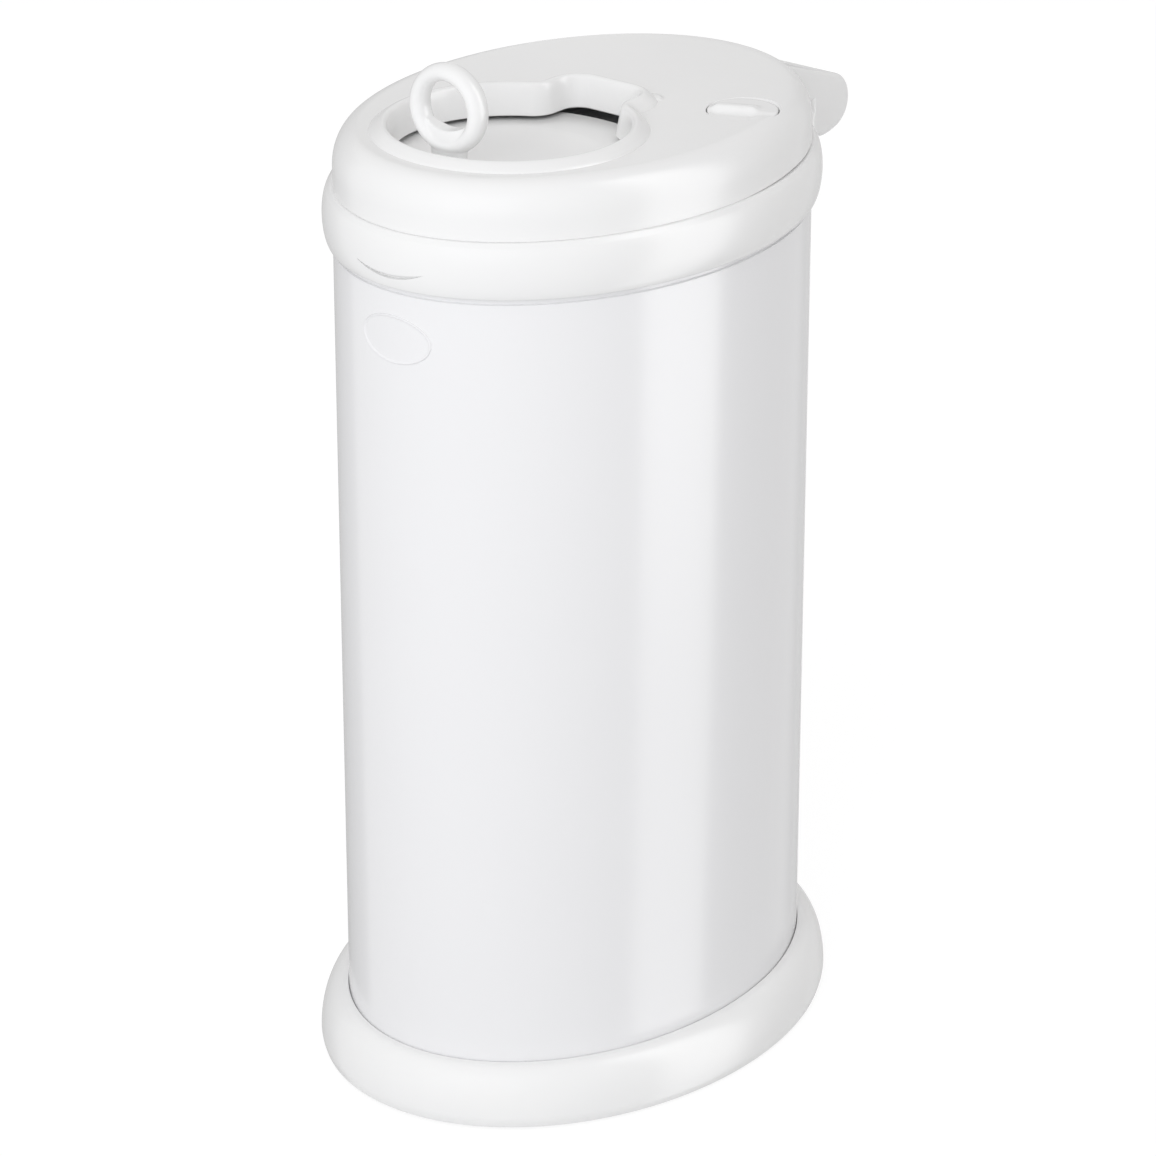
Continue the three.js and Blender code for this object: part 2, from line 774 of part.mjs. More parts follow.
// The lid's own hinge knuckle, hung from the hood by two webs.
function hingeKnuckle() {
  const top = hingeZ + hinge.barrel - hinge.wall / 2;
  const eye = crossBar(hinge.knuckleRadius, hinge.knuckleHalf, hingeY, hingeZ, smallSides);
  const [webFront, webBack] = [hingeY - hinge.webHalf, hingeY + hinge.webHalf];
  const web = slab(-hinge.knuckleHalf, hinge.knuckleHalf, webFront, webBack, hingeZ, top);
  const bore = crossBar(hinge.pinRadius + gap, hinge.knuckleHalf + overrun, hingeY, hingeZ, roundSides / 2);
  return eye.add(web).subtract(bore);
}

const lidScrewPlaces = () => lidScrewTurns.map((turn) => ovalPoint(lidScrewOut, turn));

// Lid base: the lid's lower wall, with the chute, a spigot inside the bag ring and a rebate for the seal.
function lidBasePlate() {
  const spigotInner = -lidBase.spigotOut - lidBase.spigotWall;
  const spigotLow = plateBottom - lidBase.spigotFall;
  const sealInner = plateOut - gap - lidSeal.width - gap;
  const plate = ovalPlug([
    level(spigotInner, plateBottom),
    level(spigotInner, spigotLow),
    level(-lidBase.spigotOut, spigotLow),
    level(-lidBase.spigotOut, plateBottom),
    level(sealInner, plateBottom),
    level(sealInner, sealTop + gap),
    level(plateOut, sealTop + gap),
    level(plateOut, plateTop),
  ]);
  const chuteLow = plateBottom - lidBase.chuteFall;
  const chute = uprightBar(chuteOuter, 0, mouthY, chuteLow, chuteTop, ovalSides);
  const [boreLow, boreHigh] = [chuteLow - overrun, chuteTop + overrun];
  const bore = uprightBar(chuteBore, 0, mouthY, boreLow, boreHigh, ovalSides);
  let body = plate.add(chute).subtract(bore);
  for (const [x, y] of lidScrewPlaces()) {
    body = body.subtract(screwHole(x, y, plateBottom - overrun, plateTop + overrun));
  }
  return body;
}

function lidSealHoop() {
  const out = plateOut - gap;
  return ovalHoop([
    level(out - lidSeal.edge, collarTop + gap),
    level(out, collarTop + gap + lidSeal.edge),
    level(out, sealTop),
    level(out - lidSeal.width, sealTop),
    level(out - lidSeal.width, collarTop + gap),
  ]);
}

// Door seal: a lipped rubber ring on the chute's upper edge; the door rides over it.
function doorSealRing() {
  const top = sealBottom + doorSeal.thick;
  const rings = [
    roundRing(chuteBore + gap, sealBottom, ovalSides),
    roundRing(chuteOuter, sealBottom, ovalSides),
    roundRing(chuteOuter + doorSeal.lip, top, ovalSides),
    roundRing(chuteOuter, top, ovalSides),
    roundRing(chuteBore + gap, sealBottom + doorSeal.thick / 2, ovalSides),
  ];
  return placed(loft(rings, true), 0, mouthY, 0);
}

// Door rails: two C-section runners that hold the door's straight edges.
function doorRail(side) {
  const [inside, outside] = [railInside, railOutside];
  const low = plateTop + gap;
  const ledgeTopZ = doorBottom - gap;
  const section = polygon([
    [inside - rail.toe, low],
    [outside + rail.toe, low],
    [outside + rail.toe, low + rail.ledgeThick],
    [outside, low + rail.ledgeThick],
    [outside, railTop],
    [inside - rail.lip, railTop],
    [inside - rail.lip, railLipBottom],
    [inside, railLipBottom],
    [inside, ledgeTopZ],
    [inside - rail.ledge, ledgeTopZ],
    [inside - rail.ledge, ledgeTopZ - rail.ledgeThick],
    [inside - rail.toe, ledgeTopZ - rail.ledgeThick],
  ]);
  const bar = new THREE.ExtrudeGeometry(section, { depth: 2 * railHalfLength, bevelEnabled: false });
  const along = bar.rotateX(Math.PI / 2).translate(0, railHalfLength, 0);
  return solid(side > 0 ? along : along.rotateZ(Math.PI));
}

const dishShares = [
  [0.55, 1],
  [0.85, 0.7],
  [1, 0],
];

// Where the middle of the lever's tip stands when the lever aims a given way.
function leverTipPlace(degrees) {
  const aim = THREE.MathUtils.degToRad(degrees);
  return [lockX + leverReach * Math.cos(aim), lock.back + leverReach * Math.sin(aim)];
}

// Sliding door: round at the front, straight where the rails hold it, tapered at the tail. Its
// rib stands in front of the lever's tip when the lock is shut.
function slidingDoor() {
  const outline = new THREE.Shape();
  const straightEnd = mouthY + door.straight;
  outline.absarc(0, mouthY, doorHalfWidth, Math.PI, 2 * Math.PI, false);
  outline.absellipse(0, straightEnd, doorHalfWidth, door.tail, 0, Math.PI, false, 0);
  const plate = extrudedUp(outline, doorBottom, doorTop, 14);
  const dish = placed(
    turned([
      ...dishShares.map(([out, fall]) => [dishRadius * out, doorTop - door.dishDepth * fall]),
      [dishRadius + door.dishDepth, doorTop + door.dishDepth],
    ], ovalSides / 2),
    0,
    mouthY,
    0,
  );
  const pad = uprightBar(door.padRadius, 0, handleY, doorBottom + screw.headHeight, doorTop);
  const [tipX, tipY] = leverTipPlace(lock.leverAim - lock.lockTurn);
  const ribRear = tipY - lock.leverTip - door.ribClear;
  const [ribNear, ribFar] = [tipX - door.ribInner, tipX + door.ribOuter];
  const rib = slab(ribNear, ribFar, ribRear - door.ribLength, ribRear, doorTop - gap, doorTop + door.ribRise);
  let body = joined(plate.subtract(dish), pad, rib);
  for (const side of [-1, 1]) {
    const x = side * handle.screwSpread;
    const seat = doorBottom + screw.headHeight + gap + gap;
    body = body.subtract(screwHole(x, handleY, doorBottom - overrun, doorTop + overrun));
    body = body.subtract(uprightBar(screw.head + gap, x, handleY, doorBottom - overrun, seat));
  }
  return body;
}

const handleBottom = doorTop + gap;
const handleScrewLength = door.thick + handle.neckHalfWidth - screw.headHeight;

// How the neck widens into the ring: shares of its half width, its half depth and the ring's tube.
const neckShares = [
  [1, 1, 0.5],
  [1.25, 0.94, 1.36],
  [1.73, 0.81, 2.5],
  [1.73, 0.62, 3.52],
];

// Handle: a ring standing on a waisted neck whose foot is screwed to the door.
function handleRing() {
  const ringBottom = ringZ - handle.ringRadius - handle.tube;
  const neckZ = (handleBottom + ringBottom) / 2;
  const base = [
    [handle.baseHalfWidth, handle.baseHalfDepth, handleBottom],
    [handle.baseHalfWidth, handle.baseHalfDepth, handleBottom + gap],
    [
      (handle.baseHalfWidth + handle.neckHalfWidth) / 2,
      (handle.baseHalfDepth + handle.neckHalfDepth) / 2,
      handleBottom + handle.tube / 2,
    ],
    [handle.neckHalfWidth, handle.neckHalfDepth, neckZ + gap],
  ];
  const flare = neckShares.map(([width, depth, rise]) => [
    handle.neckHalfWidth * width,
    handle.neckHalfDepth * depth,
    ringBottom + handle.tube * rise,
  ]);
  const rings = [...base, ...flare].map(([halfWidth, halfDepth, z]) =>
    roundRing(1, z, smallSides).map((p) => new THREE.Vector3(p.x * halfWidth, p.y * halfDepth, p.z)),
  );
  const neck = placed(loft(rings), 0, handleY, 0);
  const sweep = turned([[handle.holeSweep, -handle.baseHalfDepth], [handle.holeSweep, handle.baseHalfDepth]]);
  const sweepZ = ringBottom + 2 * handle.tube + handle.holeFloor + handle.holeSweep;
  const hole = placed(sweep.rotateX(Math.PI / 2), 0, handleY, sweepZ);
  const torus = new THREE.TorusGeometry(handle.ringRadius, handle.tube, 10, 24).rotateX(Math.PI / 2);
  let body = neck.subtract(hole).add(placed(torus, 0, handleY, ringZ));
  const screwTop = doorBottom + gap + screw.headHeight + handleScrewLength;
  for (const side of [-1, 1]) {
    const x = side * handle.screwSpread;
    body = body.subtract(screwHole(x, handleY, handleBottom - overrun, screwTop + gap));
  }
  return body;
}

// Child lock. The dial sits in a well in the lid; its lever swings behind the door's rib.
const cupRadius = lock.radius + gap + lock.wellWall;
const lockCup = () => uprightBar(cupRadius, lockX, lock.back, cupBottom, lidTop - lid.dish);

function lockWell() {
  const [wellRadius, holeRadius] = [lock.radius + 2 * gap, lock.hubRadius + gap];
  const well = uprightBar(wellRadius, lockX, lock.back, wellFloor, lidTop + overrun, ovalSides);
  return well.add(uprightBar(holeRadius, lockX, lock.back, cupBottom - overrun, wellFloor + overrun));
}

function aboutLock(body, degrees) {
  return body
    .translate(-lockX, -lock.back, 0)
    .rotate(0, 0, degrees)
    .translate(lockX, lock.back, 0);
}

function lockDial() {
  const low = wellFloor + gap;
  const rim = lidTop - lid.dish / 2 - lock.rimDrop;
  const top = lidTop - lid.dish / 2 + lock.ridgeRise;
  let body = uprightBar(lock.radius, lockX, lock.back, low, top, ovalSides);
  for (const side of [-1, 1]) {
    const start = side * lock.ridgeHalf;
    const bend = side * (lock.ridgeHalf + lock.ridgeRise);
    const end = side * (lock.radius + gap);
    const scoop = new THREE.Shape();
    scoop.moveTo(start, top);
    scoop.quadraticCurveTo(bend, rim + gap, end, rim);
    scoop.lineTo(end, top + overrun);
    scoop.lineTo(start, top + overrun);
    const cut = extrudedAcross(scoop, -lock.radius - overrun, lock.radius + overrun, 0, 6);
    body = body.subtract(cut.translate(lockX, lock.back, 0));
  }
  const hub = uprightBar(lock.hubRadius, lockX, lock.back, leverTop + gap, low + gap);
  const half = lock.spigot / 2;
  const spigot = slab(
    lockX - half,
    lockX + half,
    lock.back - half,
    lock.back + half,
    leverBottom,
    leverTop + 2 * gap,
  );
  body = joined(aboutLock(body, lock.ridgeTurn), hub, spigot);
  return body.subtract(screwHole(lockX, lock.back, leverBottom - overrun, low - gap));
}

// Lock lever: keyed to the dial's square spigot, with a long arm.
function lockLever() {
  const capTop = cupBottom - gap;
  const hub = uprightBar(lock.leverHub, lockX, lock.back, leverBottom, capTop);
  const room = uprightBar(lock.hubRadius + gap, lockX, lock.back, leverTop, capTop + overrun);
  const half = lock.spigot / 2 + gap;
  const key = slab(
    lockX - half,
    lockX + half,
    lock.back - half,
    lock.back + half,
    leverBottom - overrun,
    leverTop + overrun,
  );
  const tip = uprightBar(lock.leverTip, ...leverTipPlace(lock.leverAim), leverBottom, leverTop);
  const [armLow, armHigh] = [lock.back - lock.armHalf, lock.back + lock.armHalf];
  const arm = slab(lockX, lockX + leverReach, armLow, armHigh, leverBottom, leverTop);
  let body = joined(hub, aboutLock(arm, lock.leverAim), tip).subtract(room).subtract(key);
  return body.subtract(stopSlot());
}

// The slot in the hub's rim: the leaf's nub stands in it, and its two ends stop the dial.
function stopSlot() {
  const floor = lock.leverHub - leaf.nub;
  const clear = Math.asin((leaf.nub + gap) / floor);
  const from = Math.PI / 2 - clear;
  const to = Math.PI / 2 + THREE.MathUtils.degToRad(lock.lockTurn) + clear;
  const slot = new THREE.Shape();
  slot.absarc(lockX, lock.back, lock.leverHub + overrun, from, to, false);
  slot.absarc(lockX, lock.back, floor, to, from, true);
  return extrudedUp(slot, leverBottom - overrun, cupBottom + overrun, smallSides / 2);
}

// Stop leaf: a spring strip held by its ends in two posts, with a nub that stands in the hub's slot.
const leafY = lock.back + lock.leverHub + gap;

function leafPost(side) {
  const x = lockX + side * leaf.halfSpan;
  return uprightBar(leaf.postRadius, x, leafY + leaf.thick / 2, leverBottom, cupBottom + gap, smallSides);
}

function leafSlot() {
  const reach = leaf.halfSpan + leaf.postRadius / 2 + gap;
  return slab(
    lockX - reach,
    lockX + reach,
    leafY - gap,
    leafY + leaf.thick + gap,
    leverBottom - overrun,
    leverBottom + leaf.height + 2 * gap,
  );
}

function stopLeaf() {
  const reach = leaf.halfSpan + leaf.postRadius / 2;
  const low = leverBottom + gap;
  const top = low + leaf.height;
  const strip = slab(lockX - reach, lockX + reach, leafY, leafY + leaf.thick, low, top);
  return strip.add(uprightBar(leaf.nub, lockX, leafY, low, top, smallSides));
}

// The fixed pieces.
piece(fixed, "steel_body", steelBody(), "whiteSteel");
piece(fixed, "base_skirt", baseSkirt(), "whitePlastic");
piece(fixed, "base_pan", basePan(), "greyPlastic");
for (const [name, x, y] of footPlaces) {
  piece(fixed, `foot_cup_${name}`, footCup(x, y), "greyPlastic");
  piece(fixed, `foot_${name}`, rubberFoot(x, y), "darkRubber");
}
piece(fixed, "collar", collarRing(), "whitePlastic");
piece(fixed, "bag_ring", bagRingSolid(), "greyPlastic");
const pin = crossBar(hinge.pinRadius, hinge.pinHalf, hingeY, hingeZ, roundSides / 2);
piece(fixed, "hinge_pin", pin, "zincSteel");
cornerTurns.forEach((turn, i) => {
  const [x, y] = baseScrewPlace(turn);
  piece(fixed, `base_screw_${i + 1}`, placed(screwGeometry(), x, y, baseScrewLow), "zincSteel");
  piece(fixed, `collar_screw_${i + 1}`, collarScrew(turn), "zincSteel");
});

// The lid's pieces.
piece(lidGroup, "lid_shell", lidShell(), "whitePlastic");
piece(lidGroup, "lid_base", lidBasePlate(), "greyPlastic");
piece(lidGroup, "lid_seal", lidSealHoop(), "greyRubber");
piece(lidGroup, "door_seal", doorSealRing(), "greyRubber");
piece(lidGroup, "door_rail_left", doorRail(-1), "greyPlastic");
piece(lidGroup, "door_rail_right", doorRail(1), "greyPlastic");
piece(lidGroup, "lock_stop_leaf", stopLeaf(), "zincSteel");
lidScrewPlaces().forEach(([x, y], i) => {
  const low = plateBottom - gap - screw.headHeight;
  piece(lidGroup, `lid_screw_${i + 1}`, placed(screwGeometry(), x, y, low), "zincSteel");
});

// The door's pieces.
piece(lidGroup, "sliding_door", slidingDoor(), "whitePlastic");
piece(lidGroup, "handle_ring", handleRing(), "whitePlastic");
["left", "right"].forEach((name, i) => {
  const x = (2 * i - 1) * handle.screwSpread;
  const body = placed(screwGeometry(handleScrewLength), x, handleY, doorBottom + gap);
  piece(lidGroup, `handle_screw_${name}`, body, "zincSteel");
});

// The lock's pieces.
piece(lidGroup, "lock_dial", lockDial(), "whitePlastic");
piece(lidGroup, "lock_lever", lockLever(), "greyPlastic");
const washerLow = leverBottom - gap - leaf.thick;
const washer = uprightBar(lock.washer, lockX, lock.back, washerLow, leverBottom - gap, smallSides);
piece(lidGroup, "lock_washer", washer.subtract(screwHole(lockX, lock.back, 0, lidTop)), "zincSteel");
const lockScrewLow = washerLow - gap - screw.headHeight;
const lockScrew = screwGeometry(lock.leverThick + leaf.height);
piece(lidGroup, "lock_screw", placed(lockScrew, lockX, lock.back, lockScrewLow), "zincSteel");

// The origin is on the floor, under the middle of the whole bin.
const hoodReach = hingeY + hinge.barrel;
const skirtReach = bodyHalfLength + skirt.flare;
bin.position.y = (skirtReach - hoodReach) / 2;

export default bin;
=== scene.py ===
import math

import bmesh
import bpy
from mathutils import Matrix, Vector


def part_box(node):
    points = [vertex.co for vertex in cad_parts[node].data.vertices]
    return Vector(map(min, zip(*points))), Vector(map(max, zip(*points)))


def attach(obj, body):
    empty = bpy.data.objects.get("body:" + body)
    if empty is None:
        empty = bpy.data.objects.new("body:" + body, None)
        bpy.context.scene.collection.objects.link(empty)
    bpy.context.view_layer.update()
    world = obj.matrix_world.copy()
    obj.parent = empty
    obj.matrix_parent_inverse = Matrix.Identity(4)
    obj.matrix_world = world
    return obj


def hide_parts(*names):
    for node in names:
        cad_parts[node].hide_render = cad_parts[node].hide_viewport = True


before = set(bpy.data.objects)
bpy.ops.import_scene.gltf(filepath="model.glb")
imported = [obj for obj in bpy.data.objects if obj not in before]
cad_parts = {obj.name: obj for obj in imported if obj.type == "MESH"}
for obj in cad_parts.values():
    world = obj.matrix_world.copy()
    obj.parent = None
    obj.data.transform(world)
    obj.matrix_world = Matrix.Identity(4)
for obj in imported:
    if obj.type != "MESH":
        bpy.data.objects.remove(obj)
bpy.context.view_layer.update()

# Camera. It stands to the right of the bin's front and looks down on the lid,
# through a long lens whose axis passes above the middle of the picture.
camera_place = Vector((1.4199, -1.7889, 1.2683))
camera_azimuth = math.radians(38.59)
camera_elevation = math.radians(22.75)
image_size = 1156
focal_pixels = 4550.7
axis_above_middle = 93.4
camera = bpy.data.cameras.new("camera")
camera.sensor_width = 36
camera.lens = focal_pixels / image_size * camera.sensor_width
camera.shift_y = -axis_above_middle / image_size
camera_object = bpy.data.objects.new("camera", camera)
camera_back = Vector((
    math.sin(camera_azimuth) * math.cos(camera_elevation),
    -math.cos(camera_azimuth) * math.cos(camera_elevation),
    math.sin(camera_elevation),
))
camera_object.location = camera_place
camera_object.rotation_mode = "QUATERNION"
camera_object.rotation_quaternion = (-camera_back).to_track_quat("-Z", "Y")
bpy.context.scene.collection.objects.link(camera_object)
bpy.context.scene.camera = camera_object
bpy.context.scene.view_settings.view_transform = "Standard"

# Feet. Four turned pads of dark natural rubber, moulded with a rounded lower edge
# and pressed into cups under the floor pan.
mm = 0.001


def linear(hex_colour):
    """The linear colour of an sRGB hex value."""
    shares = [int(hex_colour[i:i + 2], 16) / 255 for i in (1, 3, 5)]
    return [s / 12.92 if s <= 0.04045 else ((s + 0.055) / 1.055) ** 2.4 for s in shares] + [1]


def node(tree, kind, inputs=None, **options):
    """One node, with its options set and each input given a value or another node's output."""
    made = tree.nodes.new(kind)
    for name, value in options.items():
        setattr(made, name, value)
    for name, value in (inputs or {}).items():
        if isinstance(value, bpy.types.NodeSocket):
            tree.links.new(value, made.inputs[name])
        else:
            made.inputs[name].default_value = value
    return made


def moulded(name, light, dark, roughness, grain, depth, blotch=60 * mm, **shader_inputs):
    """A moulded or coated surface: two close tones in blotches, and a fine grain that
    roughens and dents it. Grain is the grain's real width, depth its height."""
    material = bpy.data.materials.new(name)
    material.use_nodes = True
    tree = material.node_tree
    tree.nodes.clear()
    place = node(tree, "ShaderNodeTexCoord").outputs["Object"]
    cloud = node(tree, "ShaderNodeTexNoise", {"Vector": place, "Scale": 1 / blotch, "Detail": 3})
    speck = node(tree, "ShaderNodeTexNoise", {"Vector": place, "Scale": 1 / grain, "Detail": 2})
    tone = node(tree, "ShaderNodeMix", {"Factor": cloud.outputs["Fac"]}, data_type="RGBA")
    tone.inputs["A"].default_value = linear(dark)
    tone.inputs["B"].default_value = linear(light)
    rough = node(tree, "ShaderNodeMapRange", {
        "Value": speck.outputs["Fac"],
        "To Min": roughness * 0.85,
        "To Max": roughness * 1.15,
    })
    dent = node(tree, "ShaderNodeBump", {"Height": speck.outputs["Fac"], "Distance": depth, "Strength": 1})
    shader = node(tree, "ShaderNodeBsdfPrincipled", {
        "Base Color": tone.outputs["Result"],
        "Roughness": rough.outputs["Result"],
        "Normal": dent.outputs["Normal"],
        **shader_inputs,
    })
    node(tree, "ShaderNodeOutputMaterial", {"Surface": shader.outputs["BSDF"]})
    return material


def mesh_from(bm, name, sharp=32):
    """A smooth-shaded mesh with hard edges where its faces meet at more than the sharp angle."""
    bmesh.ops.remove_doubles(bm, verts=bm.verts, dist=0.002 * mm)
    bmesh.ops.recalc_face_normals(bm, faces=bm.faces)
    mesh = bpy.data.meshes.new(name)
    bm.to_mesh(mesh)
    bm.free()
    mesh.shade_smooth()
    mesh.set_sharp_from_angle(angle=math.radians(sharp))
    return mesh


def piece(mesh, name, body, nodes, material):
    """A finished piece that rides on a body and stands for CAD nodes."""
    made = bpy.data.objects.new(name, mesh)
    bpy.context.scene.collection.objects.link(made)
    made.data.materials.clear()
    made.data.materials.append(material)
    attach(made, body)
    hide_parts(*nodes)


def arc(centre, run, rise, start, end, steps):
    """Points on part of an ellipse, in the plane of a profile."""
    turns = [math.radians(start + (end - start) * i / steps) for i in range(steps + 1)]
    return [(centre[0] + run * math.cos(t), centre[1] + rise * math.sin(t)) for t in turns]


def bend(centre, radius, start, end, steps):
    """Points on part of a circle."""
    return arc(centre, radius, radius, start, end, steps)


def full_spin(bm, geom, centre, axis, steps):
    """Spins a profile once round an axis and closes the seam."""
    bmesh.ops.spin(
        bm,
        geom=geom,
        cent=centre,
        axis=axis,
        dvec=(0, 0, 0),
        angle=2 * math.pi,
        steps=steps,
        use_merge=True,
        use_duplicate=False,
    )


def revolved(profile, centre, steps=64):
    """A profile of radii and heights spun about an upright axis."""
    bm = bmesh.new()
    verts = [bm.verts.new((centre[0] + radius, centre[1], z)) for radius, z in profile]
    edges = [bm.edges.new(pair) for pair in zip(verts, verts[1:])]
    full_spin(bm, verts + edges, (centre[0], centre[1], 0), (0, 0, 1), steps)
    bmesh.ops.remove_doubles(bm, verts=bm.verts, dist=0.002 * mm)
    return bm


# Carbon black in the rubber: almost black, with hardly any shine.
foot_rubber = moulded("dark_natural_rubber", "#3A3A3B", "#2E2E30", 0.75, 0.8 * mm, 0.03 * mm, IOR=1.5)
corners = [f"{end}_{side}" for end in ("front", "rear") for side in ("left", "right")]
foot_edge = 1.4 * mm
foot_groove = 0.5 * mm
for foot_name in [f"foot_{corner}" for corner in corners]:
    low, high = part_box(foot_name)
    middle = (low + high) / 2
    radius = (high.x - low.x) / 2
    groove_z = middle.z
    foot_profile = [
        (0, low.z),
        *bend((radius - foot_edge, low.z + foot_edge), foot_edge, -90, 0, 5),
        (radius, groove_z - foot_groove),
        (radius - foot_groove, groove_z),
        (radius, groove_z + foot_groove),
        (radius, high.z),
        (0, high.z),
    ]
    foot_mesh = mesh_from(revolved(foot_profile, middle), foot_name)
    piece(foot_mesh, f"{foot_name}_pad", "bin", [foot_name], foot_rubber)

# Floor pan and foot cups. Mouldings of pale grey polypropylene with a matt spark-eroded grain:
# the pan stands on the skirt's ledge, and a short cup welded under it holds each foot. They
# keep the CAD shapes, which only show from inside and below.
# The eroded grain scatters the light: a flat pale grey with no clear highlight.
grey_plastic = moulded("grey_polypropylene", "#D4D5D6", "#CBCCCE", 0.5, 0.7 * mm, 0.02 * mm, IOR=1.49)


def keep_shape(node_names, material):
    """Gives a material to CAD nodes that keep their own shape."""
    for node_name in node_names:
        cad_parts[node_name].data.materials.clear()
        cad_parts[node_name].data.materials.append(material)


keep_shape(["base_pan", *(f"foot_cup_{corner}" for corner in corners)], grey_plastic)

# Base skirt. A flared ring of gloss white ABS that the steel tube stands in. Its foot is
# drawn in a little, its shoulder is a quarter of an ellipse, and a thin lip meets the tube.
tube_low, tube_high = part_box("steel_body")
half_width = (tube_high.x - tube_low.x) / 2
half_length = (tube_high.y - tube_low.y) / 2
tube_middle = (tube_low + tube_high) / 2
ring_steps = 216
clearance = 0.3 * mm


def level_ring(across, along, y, z):
    """Points round a level ellipse on the bin's middle line, from the back round."""
    turns = [math.pi / 2 + 2 * math.pi * i / ring_steps for i in range(ring_steps)]
    return [Vector((across * math.cos(t), y + along * math.sin(t), z)) for t in turns]


def oval(out, z):
    """Points of the tube's oval, moved out by a step and up to a height."""
    return level_ring(half_width + out, half_length + out, tube_middle.y, z)


def first_ring(bm, places):
    """A closed ring of vertices at the given places."""
    ring = [bm.verts.new(place) for place in places]
    for a, b in zip(ring, ring[1:] + ring[:1]):
        bm.edges.new((a, b))
    return ring


def grow_ring(bm, ring, places):
    """Extrudes a closed ring's edges and moves the new ring, in order, to the given places."""
    edges = [bm.edges.get(pair) for pair in zip(ring, ring[1:] + ring[:1])]
    made = bmesh.ops.extrude_edge_only(bm, edges=edges)["geom"]
    new = {vert for vert in made if isinstance(vert, bmesh.types.BMVert)}
    moved = [next(e.other_vert(v) for e in v.link_edges if e.other_vert(v) in new) for v in ring]
    for vert, place in zip(moved, places):
        vert.co = place
    return moved


def lofted(rings, closed=True):
    """A surface through rings of points: the last ring is joined to the first if closed, and
    otherwise both ends are capped."""
    bm = bmesh.new()
    first = first_ring(bm, rings[0])
    ring = first
    for places in rings[1:]:
        ring = grow_ring(bm, ring, places)
    if closed:
        grow_ring(bm, ring, rings[0])
    else:
        bm.faces.new(first)
        bm.faces.new(ring)
    bmesh.ops.remove_doubles(bm, verts=bm.verts, dist=0.002 * mm)
    return bm


def oval_hoop(profile):
    """A hoop round the tube, from a closed profile of steps out and heights."""
    return lofted([oval(out, z) for out, z in profile])


# From a polished mould: a clean white whose highlights are soft but clear, with no grain to see.
white_plastic = moulded("gloss_white_abs", "#F3F3F2", "#EFEFEF", 0.25, 0.9 * mm, 0.004 * mm, IOR=1.53)
skirt_low, skirt_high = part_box("base_skirt")
skirt_flare = skirt_high.x - half_width
skirt_draw = 1.6 * mm
skirt_foot = skirt_flare - skirt_draw
skirt_shoulder = 6.5 * mm
skirt_lip = 2.2 * mm
skirt_lip_round = 0.9 * mm
skirt_lip_edge = 0.6 * mm
skirt_lip_out = skirt_lip + 0.1 * mm
skirt_lip_place = (skirt_lip_out - skirt_lip_round, skirt_high.z - skirt_lip_round)
skirt_bevel_run = 0.5 * mm
skirt_bevel_rise = 0.4 * mm
skirt_belly_run = 0.3 * mm
skirt_belly_drop = 2 * mm
skirt_run = skirt_flare - skirt_lip
skirt_wall = 2.4 * mm
ledge_top = tube_low.z - clearance
ledge_thick = 2.5 * mm
ledge_reach = 13 * mm
skirt_rise = skirt_high.z - skirt_shoulder
skirt_profile = [
    (skirt_foot, skirt_low.z),
    (skirt_foot + skirt_bevel_run, skirt_low.z + skirt_bevel_rise),
    (skirt_flare - skirt_belly_run, skirt_shoulder - skirt_belly_drop),
    *arc((skirt_lip, skirt_shoulder), skirt_run, skirt_rise, 0, 86, 20),
    *bend(skirt_lip_place, skirt_lip_round, 70, 90, 2),
    *bend((clearance + skirt_lip_edge, skirt_high.z - skirt_lip_edge), skirt_lip_edge, 90, 180, 3),
    (clearance, ledge_top),
    (-ledge_reach, ledge_top),
    (-ledge_reach, ledge_top - ledge_thick),
    (clearance + skirt_wall, ledge_top - ledge_thick),
    *arc((skirt_lip, skirt_shoulder), skirt_run - skirt_wall, skirt_rise - skirt_wall, 78, 0, 8),
    (skirt_foot - skirt_wall, skirt_low.z),
]
skirt_mesh = mesh_from(oval_hoop(skirt_profile), "skirt")
piece(skirt_mesh, "skirt_moulding", "bin", ["base_skirt"], white_plastic)

# Steel tube. One sheet of 1 mm mild steel bent to an oval and seam-welded at the back, its
# ends hemmed inwards and a shallow neck rolled in under the collar's edge, then powder coated
# gloss white; the coat lies slightly wavy.
# Powder melts to a faint orange peel: long reflections keep firm edges but wander a little,
# and the white is a shade cooler than the plastic's.
coated_steel = moulded(
    "white_powder_coated_steel", "#F1F1F2", "#EEEEEF", 0.19, 2.4 * mm, 0.006 * mm, blotch=160 * mm, IOR=1.5,
)
hem = 2.2 * mm
hem_depth = 6 * mm
sheet = 1 * mm
neck = 1.1 * mm
neck_low = tube_high.z - 22.8 * mm
neck_high = tube_high.z - 17 * mm
tube_profile = [
    *bend((-hem / 2, tube_low.z + hem / 2), hem / 2, 180, 360, 8),
    (0, neck_low),
    (-neck, neck_low + neck / 2),
    (-neck, neck_high - neck),
    (0, neck_high),
    *bend((-hem / 2, tube_high.z - hem / 2), hem / 2, 0, 180, 8),
    (-hem, tube_high.z - hem_depth),
    (-sheet, tube_high.z - hem_depth - sheet),
    (-sheet, neck_high),
    (-sheet - neck, neck_high - neck),
    (-sheet - neck, neck_low + neck / 2),
    (-sheet, neck_low),
    (-sheet, tube_low.z + hem_depth + sheet),
    (-hem, tube_low.z + hem_depth),
]
tube_mesh = mesh_from(oval_hoop(tube_profile), "tube", 40)
piece(tube_mesh, "tube_wall", "bin", ["steel_body"], coated_steel)

# Badge. A bare oval plate of the same white plastic, glued to the front of the tube, with a
# fine raised rim round a plain field.
badge_half_width = 22.5 * mm
badge_half_height = 13 * mm
badge_middle_z = 443 * mm
badge_stand = 0.9 * mm
badge_rim = 1 * mm
badge_field = 0.35 * badge_stand
badge_root = 0.2 * mm
badge_steps = 96


